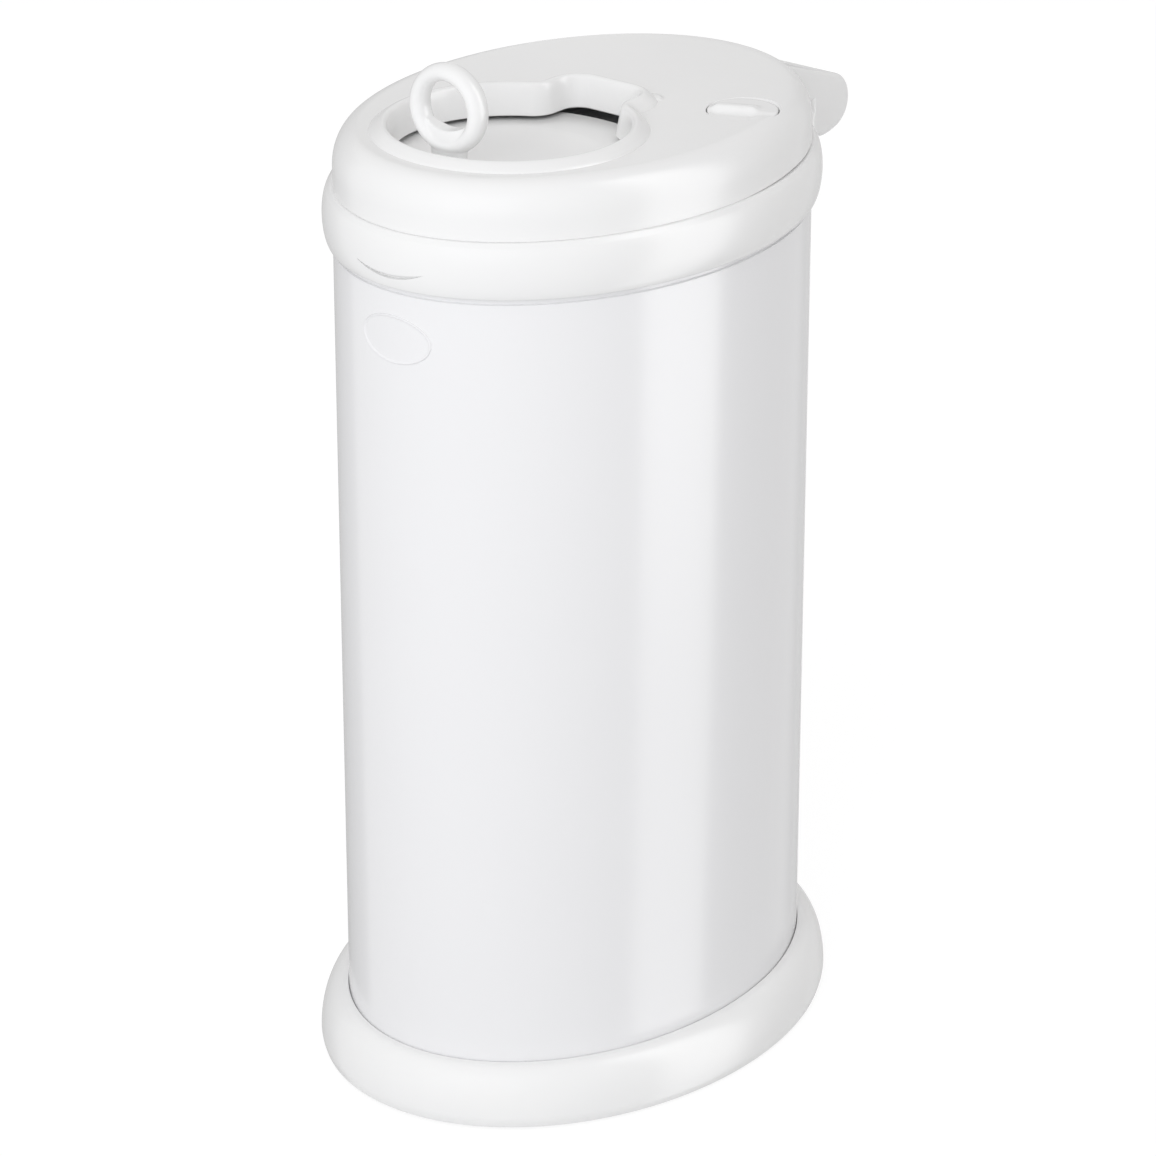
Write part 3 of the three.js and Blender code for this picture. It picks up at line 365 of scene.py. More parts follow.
def badge_ring(inset, stand, share=1):
    """Points of the badge's oval, wrapped round the tube's front and stood off it."""
    places = []
    for i in range(badge_steps):
        turn = 2 * math.pi * i / badge_steps
        x = share * (badge_half_width - inset) * math.cos(turn)
        z = badge_middle_z + share * (badge_half_height - inset) * math.sin(turn)
        front = half_length * math.sqrt(1 - (x / half_width) ** 2)
        places.append(Vector((x, tube_middle.y - front - stand, z)))
    return places


badge_rim_shares = [(0, 0.4), (0.25, 0.85), (0.5, 1), (1, 0.85), (1.5, 0.4)]
badge_bm = lofted([
    badge_ring(0, -badge_root),
    *[badge_ring(badge_rim * inset, badge_stand * rise) for inset, rise in badge_rim_shares],
    *[badge_ring(badge_rim * 2, badge_field, share) for share in (1, 0.8, 0.6, 0.4, 0.2, 0.02)],
], closed=False)
# An etched mould face: the same white under a duller, wider highlight.
badge_white = moulded("satin_white_abs", "#F0F0F1", "#EDEDEE", 0.35, 0.9 * mm, 0.004 * mm, IOR=1.53)
piece(mesh_from(badge_bm, "badge"), "badge_plate", "bin", [], badge_white)

# Collar. A bulged ring of gloss white ABS that hooks over the tube's upper edge, with a
# finger scallop low at the front, a smile-shaped slit under a lip, and two lugs at the back
# for the hinge pin.


def carved(target, tool, operation="DIFFERENCE"):
    """The mesh of one bmesh cut by, or joined to, another."""
    objects = []
    for bm in (target, tool):
        bmesh.ops.remove_doubles(bm, verts=bm.verts, dist=0.002 * mm)
        bmesh.ops.recalc_face_normals(bm, faces=bm.faces)
        mesh = bpy.data.meshes.new("carving")
        bm.to_mesh(mesh)
        bm.free()
        made = bpy.data.objects.new("carving", mesh)
        bpy.context.scene.collection.objects.link(made)
        objects.append(made)
    boolean = objects[0].modifiers.new("boolean", "BOOLEAN")
    boolean.operation = operation
    boolean.solver = "EXACT"
    boolean.object = objects[1]
    graph = bpy.context.evaluated_depsgraph_get()
    result = bmesh.new()
    result.from_mesh(objects[0].evaluated_get(graph).to_mesh())
    for made in objects:
        bpy.data.objects.remove(made)
    return result


def extruded(outline, direction):
    """A flat outline pulled along a direction into a closed solid."""
    bm = bmesh.new()
    face = bm.faces.new([bm.verts.new(place) for place in outline])
    pulled = bmesh.ops.extrude_face_region(bm, geom=[face])["geom"]
    top = [vert for vert in pulled if isinstance(vert, bmesh.types.BMVert)]
    bmesh.ops.translate(bm, verts=top, vec=direction)
    return bm


def side_slab(outline, x0, x1):
    """A side view of Y and Z places pulled along X into a solid."""
    return extruded([Vector((x0, y, z)) for y, z in outline], (x1 - x0, 0, 0))


def loop(centre, run, rise, steps):
    """Points once round an ellipse."""
    return arc(centre, run, rise, 0, 360, steps)[:-1]


def bar(radius, x0, x1):
    """A round bar along the hinge's axis."""
    return side_slab(loop((pin_middle.y, pin_middle.z), radius, radius, 48), x0, x1)


def round_ends(bm, offset, segments):
    """Rounds the edges at both ends of a solid that was pulled along X."""
    bmesh.ops.bevel(
        bm,
        geom=[e for e in bm.edges if abs(e.verts[0].co.x - e.verts[1].co.x) < mm / 10],
        offset=offset,
        segments=segments,
        profile=0.5,
        affect="EDGES",
        material=-1,
    )


collar_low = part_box("collar")[0]
pin_low, pin_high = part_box("hinge_pin")
pin_middle = (pin_low + pin_high) / 2
pin_radius = (pin_high.z - pin_low.z) / 2
channel_top = tube_high.z + clearance
collar_top = channel_top + 10.5 * mm
collar_bottom = channel_top - 19.5 * mm
bulge_z = (collar_top + collar_bottom) / 2
bulge = 5.6 * mm
bulge_low = 0.5 * mm
shelf_z = collar_top - 7.5 * mm
shelf_thick = 3 * mm
shelf_reach = 13.5 * mm
land = 8.5 * mm
inner_wall = 2.6 * mm
edge = 0.6 * mm
under = 1.6 * mm
under_start = math.radians(60)
bulge_fall = (bulge_z - collar_bottom - under / 2) / math.sin(under_start)
under_out = bulge_low + (bulge - bulge_low) * math.cos(under_start) - under * math.sin(under_start)
under_lip = 1.5 * mm
collar_brow = 1.2 * mm
overrun = 5 * mm
collar_profile = [
    *bend((under_out, collar_bottom + under), under, -90, -40, 5),
    *arc((bulge_low, bulge_z), bulge - bulge_low, bulge_fall, -60, 0, 12),
    *arc((bulge_low, bulge_z), bulge - bulge_low, bulge_z - collar_bottom, 6, 60, 9),
    *bend((bulge_low, collar_top - collar_brow), collar_brow, 20, 90, 4),
    *bend((-land + edge, collar_top - edge), edge, 90, 180, 3),
    (-land, shelf_z),
    *bend((-shelf_reach + edge, shelf_z - edge), edge, 90, 180, 3),
    (-shelf_reach, shelf_z - shelf_thick),
    (-hem - clearance - inner_wall, shelf_z - shelf_thick),
    (-hem - clearance - inner_wall, collar_low.z),
    (-hem - clearance, collar_low.z),
    (-hem - clearance, channel_top),
    (clearance, channel_top),
    (clearance, collar_bottom + under_lip),
]
collar_bm = oval_hoop(collar_profile)

lug_inner = 22 * mm
lug_outer = 40 * mm
lug_radius = 11 * mm
lug_root = tube_middle.y + half_length - land
lug_rim = tube_middle.y + half_length + 1.7 * mm
lug_round = 0.8 * mm
for side in (-1, 1):
    x0, x1 = sorted((side * lug_inner, side * lug_outer))
    eye = bend((pin_middle.y, pin_middle.z), lug_radius, -90, 90, 24)
    lug_outline = [
        (lug_root, collar_bottom + clearance),
        *eye,
        (lug_rim, collar_top - clearance),
        (lug_root, collar_top - clearance),
    ]
    lug = side_slab(lug_outline, x0, x1)
    round_ends(lug, lug_round, 3)
    tube_ends = [oval(clearance, collar_bottom - overrun), oval(clearance, channel_top)]
    collar_bm = carved(collar_bm, carved(lug, lofted(tube_ends, closed=False)), "UNION")
pin_hole = bar(pin_radius + clearance, -lug_outer - overrun, lug_outer + overrun)
collar_bm = carved(collar_bm, pin_hole)

scallop_half = 22 * mm
scallop_arc = 90 * mm
scallop_low = collar_bottom + 8.5 * mm
scallop_floor = 2.2 * mm
scallop_reach = 20 * mm
slit = 2.4 * mm
sweep = math.asin(scallop_half / scallop_arc)
slit_rise = slit + scallop_arc * (1 - math.cos(sweep))
slit_arc = (scallop_half ** 2 + slit_rise ** 2) / (2 * slit_rise)
low_sweep = math.degrees(sweep)
slit_sweep = math.degrees(math.asin(scallop_half / slit_arc))
smile = bend((0, scallop_arc), scallop_arc, -90 - low_sweep, -90 + low_sweep, 32)
smile += bend((0, slit_arc - slit), slit_arc, -90 + slit_sweep, -90 - slit_sweep, 32)[1:-1]
scallop_place = Vector((0, tube_middle.y - half_length - scallop_floor, scallop_low))
scallop_outline = [scallop_place + Vector((x, 0, rise)) for x, rise in smile]
collar_bm = carved(collar_bm, extruded(scallop_outline, (0, -scallop_reach, 0)))
collar_mesh = mesh_from(collar_bm, "collar", 30)
piece(collar_mesh, "collar_moulding", "bin", ["collar"], white_plastic)

# Bag ring. A pale grey polypropylene ring that lifts out of the collar; the bag's mouth is
# folded over its bead and hangs down inside it.
ring_low, ring_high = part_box("bag_ring")
flange_low = shelf_z + clearance
flange_high = flange_low + 2.6 * mm
throat = -shelf_reach - clearance
ring_wall = 2.4 * mm
bead_width = 4.6 * mm
bead_rise = ring_high.z - flange_high
taper = 0.4 * mm
bead_centre = (throat - ring_wall + bead_width / 2, flange_high)
bag_ring_profile = [
    (throat - taper, ring_low.z),
    (throat, flange_low),
    (-land - clearance, flange_low),
    *bend((-land - clearance - edge, flange_high - edge), edge, 0, 90, 3),
    *arc(bead_centre, bead_width / 2, bead_rise, 0, 180, 14),
    (throat - ring_wall, flange_high),
    (throat - ring_wall - taper, ring_low.z),
]
bag_ring_mesh = mesh_from(oval_hoop(bag_ring_profile), "bag_ring_body", 30)
piece(bag_ring_mesh, "bag_ring_moulding", "bin", ["bag_ring"], grey_plastic)

# Hinge pin. A drawn steel rod, zinc plated, with chamfered ends.
# Fine crystals in the plating: a bluish grey metal with blurred reflections.
zinc = moulded(
    "zinc_plated_steel", "#C3C5C8", "#B2B5B9", 0.3, 0.5 * mm, 0.004 * mm, blotch=3 * mm, Metallic=1,
)
pin_chamfer = 0.5 * mm
pin_bm = bar(pin_radius, pin_low.x, pin_high.x)
round_ends(pin_bm, pin_chamfer, 2)
piece(mesh_from(pin_bm, "pin"), "hinge_rod", "bin", ["hinge_pin"], zinc)

# Screws. Zinc plated pan-head screws with a cross recess. Four hold the base, four the
# collar, six the lid's two walls, two the handle and one the lock.
screw_head = 3.1 * mm
screw_head_height = 1.6 * mm
screw_brow = 0.15 * mm
screw_shank = 1.5 * mm
screw_hole = 2 * mm
recess_length = 3 * mm
recess_width = 0.8 * mm
recess_depth = 0.9 * mm
thread_pitch = 1.1 * mm
thread_depth = 0.3 * mm


def screw_bm(length):
    """A screw that points up, its head's top face on the floor of the frame."""
    shank = []
    turns = int((length - 2 * thread_pitch) / thread_pitch)
    for i in range(turns):
        z = screw_head_height + thread_pitch * (i + 1)
        shank += [(screw_shank - thread_depth, z), (screw_shank, z + thread_pitch * 0.45)]
    pan_centre = (screw_head * 0.6, screw_head_height * 0.75)
    profile = [
        (0, 0),
        (screw_head * 0.6, screw_brow),
        *arc(pan_centre, screw_head * 0.4, screw_head_height * 0.6, -70, 0, 5),
        (screw_head, screw_head_height),
        (screw_shank - thread_depth, screw_head_height),
        *shank,
        (screw_shank - thread_depth, screw_head_height + length - thread_pitch),
        (0, screw_head_height + length),
    ]
    bm = revolved(profile, (0, 0), 32)
    for across, along in ((recess_length, recess_width), (recess_width, recess_length)):
        slot_bm = bmesh.new()
        bmesh.ops.create_cube(slot_bm, size=1)
        bmesh.ops.scale(slot_bm, verts=slot_bm.verts, vec=(across, along, 2 * recess_depth))
        bm = carved(bm, slot_bm)
    return bm


def screw(node_name, body, length, start, direction):
    """One screw in place of a CAD node: its head's top at start, pointing along direction."""
    bm = screw_bm(length)
    turn = Vector((0, 0, 1)).rotation_difference(direction).to_matrix().to_4x4()
    bmesh.ops.transform(bm, matrix=Matrix.Translation(start) @ turn, verts=bm.verts)
    mesh = mesh_from(bm, node_name, 25)
    piece(mesh, f"{node_name}_steel", body, [node_name], zinc)


up = Vector((0, 0, 1))
upright_screws = [(f"base_screw_{i}", "bin") for i in range(1, 5)]
upright_screws += [(f"lid_screw_{i}", "lid") for i in range(1, 7)]
upright_screws += [("handle_screw_left", "door"), ("handle_screw_right", "door"), ("lock_screw", "lock")]
for screw_name, screw_body in upright_screws:
    low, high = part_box(screw_name)
    start = Vector(((low.x + high.x) / 2, (low.y + high.y) / 2, low.z))
    screw(screw_name, screw_body, high.z - low.z - screw_head_height, start, up)
for i in range(1, 5):
    low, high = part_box(f"collar_screw_{i}")
    middle = (low + high) / 2
    outward = Vector((middle.x / half_width ** 2, (middle.y - tube_middle.y) / half_length ** 2, 0))
    outward.normalize()
    reach = ((high.x - low.x) - 2 * screw_head * abs(outward.y)) / abs(outward.x)
    screw(f"collar_screw_{i}", "bin", reach - screw_head_height, middle - outward * reach / 2, outward)

# Lid shell. The lid's upper wall, one gloss white ABS moulding: a domed oval with a slightly
# dished top, the mouth with its raised bead and hanging wall, the lock's well, and the hood
# that covers the hinge.
lid_seam = 0.5 * mm
lid_inset = 0.35 * mm
lid_wall = 2.6 * mm
lid_bottom = collar_top + lid_seam
rim_drop = 0.46 * mm
rim_lift = 0.4 * mm
rim_run = 50 * mm
rim_edge = 0.2 * mm
shoulder_z = lid_bottom + 10 * mm
shoulder_run = 13.4 * mm
shoulder_rise = 19.4 * mm
lid_top = shoulder_z + shoulder_rise
lid_rim = -lid_inset - shoulder_run
lid_dish = 1.8 * mm
mouth_radius = 60.2 * mm
mouth_y = tube_middle.y - 54.8 * mm
lobe_half = 22.3 * mm
lobe_back = tube_middle.y + 27.5 * mm
lobe_corner = 10 * mm
hip = 15 * mm
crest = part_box("lid_shell")[1].z
door_low, door_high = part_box("sliding_door")
door_bottom = door_low.z
door_top = door_bottom + 5.5 * mm
mouth_bottom = door_top + 2.2 * mm
mouth_wall = 2.2 * mm
bead_foot = 12.5 * mm
bead_brow = 0.33 * mm
crest_radius = 2.5 * mm
crest_out = 5.4 * mm
inner_foot_out = mouth_wall + 2.4 * mm
inner_foot_drop = 0.4 * mm
inner_rim_in = 0.5 * mm
mouth_lip = 0.3 * mm


def even(points, count):
    """The given number of points, evenly spaced along a closed run of points."""
    path = points + points[:1]
    steps = [math.dist(a, b) for a, b in zip(path, path[1:])]
    total = sum(steps)
    spaced = []
    gone = 0
    index = 0
    for i in range(count):
        target = total * i / count
        while gone + steps[index] < target:
            gone += steps[index]
            index += 1
        share = (target - gone) / steps[index]
        a, b = path[index], path[index + 1]
        spaced.append((a[0] + (b[0] - a[0]) * share, a[1] + (b[1] - a[1]) * share))
    return spaced


def mirrored(left):
    """A whole outline from its left half, which starts and ends on the middle line."""
    return left + [(-x, y) for x, y in reversed(left[1:-1])]


def mouth_outline(grow):
    """The mouth's outline, grown by a step: a round hole with a lobe at its back."""
    hip_x = lobe_half + hip
    hip_reach = mouth_radius + hip
    hip_y = mouth_y + math.sqrt(hip_reach ** 2 - hip_x ** 2)
    lean = math.degrees(math.asin(hip_x / hip_reach))
    corner_x = lobe_half - lobe_corner
    corner_y = lobe_back - lobe_corner
    corner_radius = lobe_corner + grow
    left = [
        (0, lobe_back + grow),
        *bend((-corner_x, corner_y), corner_radius, 90, 180, 16),
        *bend((-hip_x, hip_y), hip - grow, 0, lean - 90, 14),
        *bend((0, mouth_y), mouth_radius + grow, 90 + lean, 270, 90)[1:],
    ]
    return even(mirrored(left), ring_steps)


def mouth_ring(grow, z):
    """Points of the mouth's outline at a height."""
    return [Vector((x, y, z)) for x, y in mouth_outline(grow)]


def dished(place, drop=0):
    """A place moved up or down onto the lid's dished top."""
    across = place.x / (half_width + lid_rim)
    along = (place.y - tube_middle.y) / (half_length + lid_rim)
    share = min(1, math.hypot(across, along))
    return Vector((place.x, place.y, lid_top - lid_dish * (1 - share ** 2) - drop))


def between(outer, inner, share, drop=0):
    """Points part of the way from an outer ring to an inner one, on the dished top."""
    return [dished(a.lerp(b, share), drop) for a, b in zip(outer, inner)]


def lid_edge(out, rise=0):
    """The lid's lower edge, which all but meets the collar in front and stands clear of it
    towards the hinge."""
    places = oval(out, lid_bottom + rise)
    for place in places:
        back = min(1, max(0, (place.y - tube_middle.y) / rim_run))
        place.z += rim_lift * back - rim_drop * (1 - back)
    return places


foot_ring = [dished(place) for place in mouth_ring(bead_foot, 0)]
rim_ring = oval(lid_rim, lid_top)
inner_foot = mouth_ring(inner_foot_out, 0)
inner_rim = oval(lid_rim - inner_rim_in, lid_top)
bead_profile = [
    (12.3 * mm, 0.1),
    (11.5 * mm, 0.27),
    (10.4 * mm, 0.47),
    (9.2 * mm, 0.67),
    (8 * mm, 0.85),
    (7.2 * mm, 0.95),
]
mouth_wall_profile = [
    (2.2 * mm, lid_top - 1 * mm),
    (0.6 * mm, mouth_bottom + 3 * mm),
    (0.1 * mm, mouth_bottom + 0.6 * mm),
    (0.6 * mm, mouth_bottom),
    (mouth_wall - mouth_lip, mouth_bottom),
    (mouth_wall, mouth_bottom + mouth_lip),
]
bead_rings = []
for grow, share in bead_profile:
    flank = [dished(place) for place in mouth_ring(grow, 0)]
    for place in flank:
        place.z += share * (crest - bead_brow - place.z)
    bead_rings.append(flank)
for grow, z in bend((crest_out, crest - crest_radius), crest_radius, 60, 165, 8):
    bead_rings.append(mouth_ring(grow, z))
lid_rings = [
    lid_edge(-lid_inset - rim_edge),
    lid_edge(-lid_inset, rim_edge),
    *[oval(out, z) for out, z in arc((lid_rim, shoulder_z), shoulder_run, shoulder_rise, 0, 88, 22)],
    *[between(rim_ring, foot_ring, share) for share in (0.04, 0.2, 0.4, 0.6, 0.8, 0.93, 1)],
    *bead_rings,
    *[mouth_ring(grow, z) for grow, z in mouth_wall_profile],
    [dished(place, lid_wall + inner_foot_drop) for place in inner_foot],
    *[between(inner_foot, inner_rim, share, lid_wall) for share in (0.1, 0.4, 0.7, 0.98)],
    *[oval(out, z) for out, z in arc(
        (lid_rim, shoulder_z), shoulder_run - lid_wall, shoulder_rise - lid_wall, 86, 0, 10)],
    lid_edge(-lid_inset - lid_wall),
]
lid_bm = lofted(lid_rings)

hood_half = 44 * mm
hood_wall = 3 * mm
hood_round = 3 * mm
barrel = 16 * mm
ramp_inset = 9.8 * mm
ramp_y = tube_middle.y + half_length + lid_rim - ramp_inset
ramp_z = lid_top - lid_dish / 4
cheek = 6 * mm
cheek_turn = math.radians(215)


def hood_outline(thickness):
    """Side view of the hood, drawn in by a thickness: a barrel round the pin with a ramp up to
    the lid's top. The outside also has a cheek that runs forward to the seam."""
    radius = barrel - thickness
    start_y = ramp_y - shoulder_run
    top_z = ramp_z - thickness
    aim = math.atan2(top_z - pin_middle.z, ramp_y - pin_middle.y)
    reach = math.hypot(pin_middle.y - ramp_y, top_z - pin_middle.z)
    touch = math.degrees(aim - math.acos(radius / reach))
    round_part = []
    for y, z in bend((0, 0), radius, 180, touch + 360, 60):
        swell = 0 if thickness else cheek * max(0, math.cos(math.atan2(z, y) - cheek_turn)) ** 4
        share = 1 + swell / radius
        round_part.append((pin_middle.y + y * share, pin_middle.z + z * share))
    heel = [] if thickness else [(round_part[0][0], lid_bottom)]
    low = pin_middle.z if thickness else lid_bottom
    return [(start_y, low), *heel, *round_part, (ramp_y, top_z), (start_y, top_z - lid_dish)]


def block(x0, x1, y0, y1, z0, z1):
    """A plain block."""
    return side_slab([(y0, z0), (y1, z0), (y1, z1), (y0, z1)], x0, x1)


hood_bm = side_slab(hood_outline(0), -hood_half, hood_half)
bmesh.ops.recalc_face_normals(hood_bm, faces=hood_bm.faces)
round_ends(hood_bm, hood_round, 6)
room_half = hood_half - hood_wall
hood_room = side_slab(hood_outline(hood_wall), -room_half, room_half)
bite = 0.5 * mm
way_through = side_slab(hood_outline(hood_wall - bite), -room_half - bite, room_half + bite)
room_low = pin_middle.z - barrel - overrun
room_high = pin_middle.z + lug_radius + clearance
room_front = tube_middle.y + half_length + lid_rim
room_back = pin_middle.y + lug_radius + clearance
lug_room = block(-room_half, room_half, room_front, room_back, room_low, room_high)
inside_rings = [
    oval(-lid_inset - lid_wall + bite, lid_bottom - overrun),
    *[oval(out, z) for out, z in arc(
        (lid_rim, shoulder_z), shoulder_run - lid_wall + bite, shoulder_rise - lid_wall + bite, 0, 86, 12)],
]
hood_bm = carved(carved(hood_bm, hood_room), lug_room)
slot_high = pin_middle.z - 1 * mm
slot_back = pin_middle.y + barrel + overrun
for side in (-1, 1):
    x0, x1 = sorted((side * (lug_inner - 2 * clearance), side * room_half))
    hood_bm = carved(hood_bm, block(x0, x1, pin_middle.y, slot_back, room_low, slot_high))
hood_bm = carved(hood_bm, lofted(inside_rings, closed=False))
lid_bm = carved(carved(lid_bm, way_through), hood_bm, "UNION")

knuckle_half = 18 * mm
knuckle_radius = 8 * mm
web_half = 4 * mm
web_front = pin_middle.y - web_half
web_back = pin_middle.y + web_half
web_top = pin_middle.z + barrel - hood_wall / 2
knuckle = bar(knuckle_radius, -knuckle_half, knuckle_half)
web = block(-knuckle_half, knuckle_half, web_front, web_back, pin_middle.z, web_top)
knuckle = carved(knuckle, web, "UNION")
knuckle_bore = bar(pin_radius + clearance, -knuckle_half - mm, knuckle_half + mm)
lid_bm = carved(lid_bm, carved(knuckle, knuckle_bore), "UNION")

dial_low, dial_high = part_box("lock_dial")
lock_middle = (dial_low + dial_high) / 2
dial_radius = (dial_high.x - dial_low.x) / 2
well_radius = dial_radius + 2 * clearance
well_floor = lid_top - lid_dish / 2 - 3.4 * mm
cup_bottom = well_floor - 1.6 * mm
cup_wall = 2.1 * mm
hub_radius = 7 * mm


def plug(radius, low_z, high_z, place, steps):
    """A plain upright cylinder."""
    return revolved([(0, low_z), (radius, low_z), (radius, high_z), (0, high_z)], place, steps)


cup = plug(well_radius + cup_wall, cup_bottom, lid_top - lid_dish, lock_middle, 96)
well_lip = 0.8 * mm
well_edge = lid_top - lid_dish / 2
well = revolved([
    (0, cup_bottom - mm),
    (hub_radius + clearance, cup_bottom - mm),
    (hub_radius + clearance, well_floor),
    (well_radius, well_floor),
    *bend((well_radius + well_lip, well_edge - well_lip), well_lip, 180, 90, 5),
    (well_radius + 1.5 * well_lip, well_edge + mm),
    (0, well_edge + mm),
], lock_middle, 96)
lid_bm = carved(carved(lid_bm, cup, "UNION"), well)

pip_radius = 5.5 * mm
pip_root = pip_radius + 0.8 * mm
pip_place = Vector((24.5 * mm, tube_middle.y + 34 * mm, 0))
pip_z = dished(pip_place).z
pip_sink = 0.1 * mm
pip_brow = 0.25 * mm
pip_step = 0.2 * mm
pip_rise = 2 * mm
pip = revolved([
    (0, pip_z - mm),
    (pip_root, pip_z - mm),
    (pip_root, pip_z - pip_sink),
    (pip_radius, pip_z + pip_brow),
    *arc((0, pip_z + pip_step), pip_radius * 0.94, pip_rise, 10, 90, 10),
], pip_place, 48)
lid_bm = carved(lid_bm, pip, "UNION")
lid_mesh = mesh_from(lid_bm, "lid_shell_body", 28)
piece(lid_mesh, "lid_moulding", "lid", ["lid_shell"], white_plastic)

# Lid base. The lid's lower wall in pale grey polypropylene, screwed up into the shell, with
# the round chute through it and a skirt that stands inside the bag ring.
base_low, base_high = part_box("lid_base")
plate_bottom = lid_bottom + clearance
plate_top = plate_bottom + 2.6 * mm
plate_out = -lid_inset - lid_wall - clearance
seal_top = collar_top + clearance + 1.5 * mm
seal_inner = plate_out - 4.4 * mm
spigot_out = -19.5 * mm
spigot_wall = 2.2 * mm
spigot_low = plate_bottom - 8 * mm
chute_bore = 57.5 * mm
chute_wall = 2.7 * mm


def chute_ring(radius, z):
    """Points round the chute's axis."""
    return level_ring(radius, radius, mouth_y, z)


lid_base_bm = lofted([
    chute_ring(chute_bore, base_high.z - edge),
    chute_ring(chute_bore + edge / 2, base_high.z),
    chute_ring(chute_bore + chute_wall, base_high.z),
    chute_ring(chute_bore + chute_wall, plate_top),
    oval(plate_out, plate_top),
    oval(plate_out, seal_top + clearance),
    oval(seal_inner, seal_top + clearance),
    oval(seal_inner, plate_bottom),
    oval(spigot_out, plate_bottom),
    oval(spigot_out, spigot_low + edge),
    oval(spigot_out - edge, spigot_low),
    oval(spigot_out - spigot_wall + edge, spigot_low),
    oval(spigot_out - spigot_wall, spigot_low + edge),
    oval(spigot_out - spigot_wall, plate_bottom),
    chute_ring(chute_bore + chute_wall, plate_bottom),
    chute_ring(chute_bore + chute_wall, base_low.z + edge),
    chute_ring(chute_bore + chute_wall - edge, base_low.z),
    chute_ring(chute_bore + edge, base_low.z),
    chute_ring(chute_bore, base_low.z + edge),
])
for i in range(1, 7):
    low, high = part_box(f"lid_screw_{i}")
    hole = plug(screw_hole, plate_bottom - mm, plate_top + mm, (low + high) / 2, 32)
    lid_base_bm = carved(lid_base_bm, hole)
lid_base_mesh = mesh_from(lid_base_bm, "lid_base_body")
piece(lid_base_mesh, "lid_base_moulding", "lid", ["lid_base"], grey_plastic)

# Seals. Two rings of soft grey rubber: one in a rebate round the lid, one on the chute's
# upper edge with a lip that the door wipes over.
# Chalk-filled rubber: a matt mid grey that lightens only at glancing angles.
seal_rubber = moulded("grey_seal_rubber", "#A6A8AA", "#9C9EA0", 0.65, 0.8 * mm, 0.02 * mm, IOR=1.45)
seal_out = plate_out - clearance
seal_low = collar_top + clearance
seal_round = 0.7 * mm
seal_width = 3.8 * mm
lid_seal_profile = [
    *bend((seal_out - seal_round, seal_low + seal_round), seal_round, -90, 0, 5),
    (seal_out, seal_top),
    (seal_out - seal_width, seal_top),
    (seal_out - seal_width, seal_low),
]
lid_seal_mesh = mesh_from(oval_hoop(lid_seal_profile), "lid_seal_body")
piece(lid_seal_mesh, "lid_seal_rubber", "lid", ["lid_seal"], seal_rubber)
wiper_low, wiper_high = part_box("door_seal")
wiper_out = (wiper_high.x - wiper_low.x) / 2
wiper_middle = (wiper_low.z + wiper_high.z) / 2
wiper_lip = 1.1 * mm
door_seal_bm = lofted([
    chute_ring(chute_bore + clearance, wiper_low.z),
    chute_ring(chute_bore + chute_wall, wiper_low.z),
    chute_ring(wiper_out, wiper_high.z),
    chute_ring(wiper_out - wiper_lip, wiper_high.z),
    chute_ring(chute_bore + clearance, wiper_middle),
])
door_seal_mesh = mesh_from(door_seal_bm, "door_seal_body")
piece(door_seal_mesh, "door_seal_rubber", "lid", ["door_seal"], seal_rubber)

# Sliding door. A gloss white ABS plate, round at the front and tapered at the tail, with a
# shallow dish, a flat seat for the handle's foot and a rib that the lock's lever meets.
door_half = (door_high.x - door_low.x) / 2
door_tail = door_high.y
tail_length = 49 * mm
door_edge = 0.8 * mm
dish_radius = 50 * mm
dish_depth = 3 * mm
handle_y = tube_middle.y - 102.7 * mm
seat_radius = 15.5 * mm
seat_floor = door_bottom + 2.2 * mm
seat_bevel = 0.5 * mm


def door_ring(inset, z):
    """The door's outline, drawn in by a step, from the tail round."""
    half = door_half - inset
    tail_y = door_tail - tail_length
    left = [
        *arc((0, tail_y), half, tail_length - inset, 90, 180, 40),
        *bend((0, mouth_y), half, 180, 270, 50),
    ]
    return [Vector((x, y, z)) for x, y in even(mirrored(left), ring_steps)]


dish_shares = [
    (1.04, 0), (1, -0.02), (0.93, -0.2), (0.82, -0.52),
    (0.68, -0.8), (0.5, -0.95), (0.25, -1), (0.03, -1),
]
door_bm = lofted([
    door_ring(door_edge, door_bottom),
    door_ring(0, door_bottom + door_edge),
    door_ring(0, door_top - door_edge),
    door_ring(door_edge * 0.3, door_top - door_edge * 0.3),
    door_ring(door_edge, door_top),
    *[chute_ring(dish_radius * radius, door_top + dish_depth * rise) for radius, rise in dish_shares],
], closed=False)
seat = revolved([
    (0, seat_floor),
    (seat_radius, seat_floor),
    (seat_radius, door_top - seat_bevel),
    (seat_radius - seat_bevel, door_top),
    (0, door_top),
], (0, handle_y), 64)
door_bm = carved(door_bm, seat, "UNION")
rib_left = 40 * mm
rib_right = 46 * mm
rib_front = tube_middle.y - 5.8 * mm
rib_back = tube_middle.y - 1.8 * mm
rib = block(rib_left, rib_right, rib_front, rib_back, door_top - clearance, door_high.z)
door_bm = carved(door_bm, rib, "UNION")
handle_screw_x = 6 * mm
for side in (-1, 1):
    hole = revolved([
        (0, door_bottom - mm),
        (screw_head + clearance, door_bottom - mm),
        (screw_head + clearance, seat_floor),
        (screw_hole, seat_floor),
        (screw_hole, door_top + mm),
        (0, door_top + mm),
    ], (side * handle_screw_x, handle_y), 32)
    door_bm = carved(door_bm, hole)
door_mesh = mesh_from(door_bm, "door_body", 28)
piece(door_mesh, "door_plate", "door", ["sliding_door"], white_plastic)

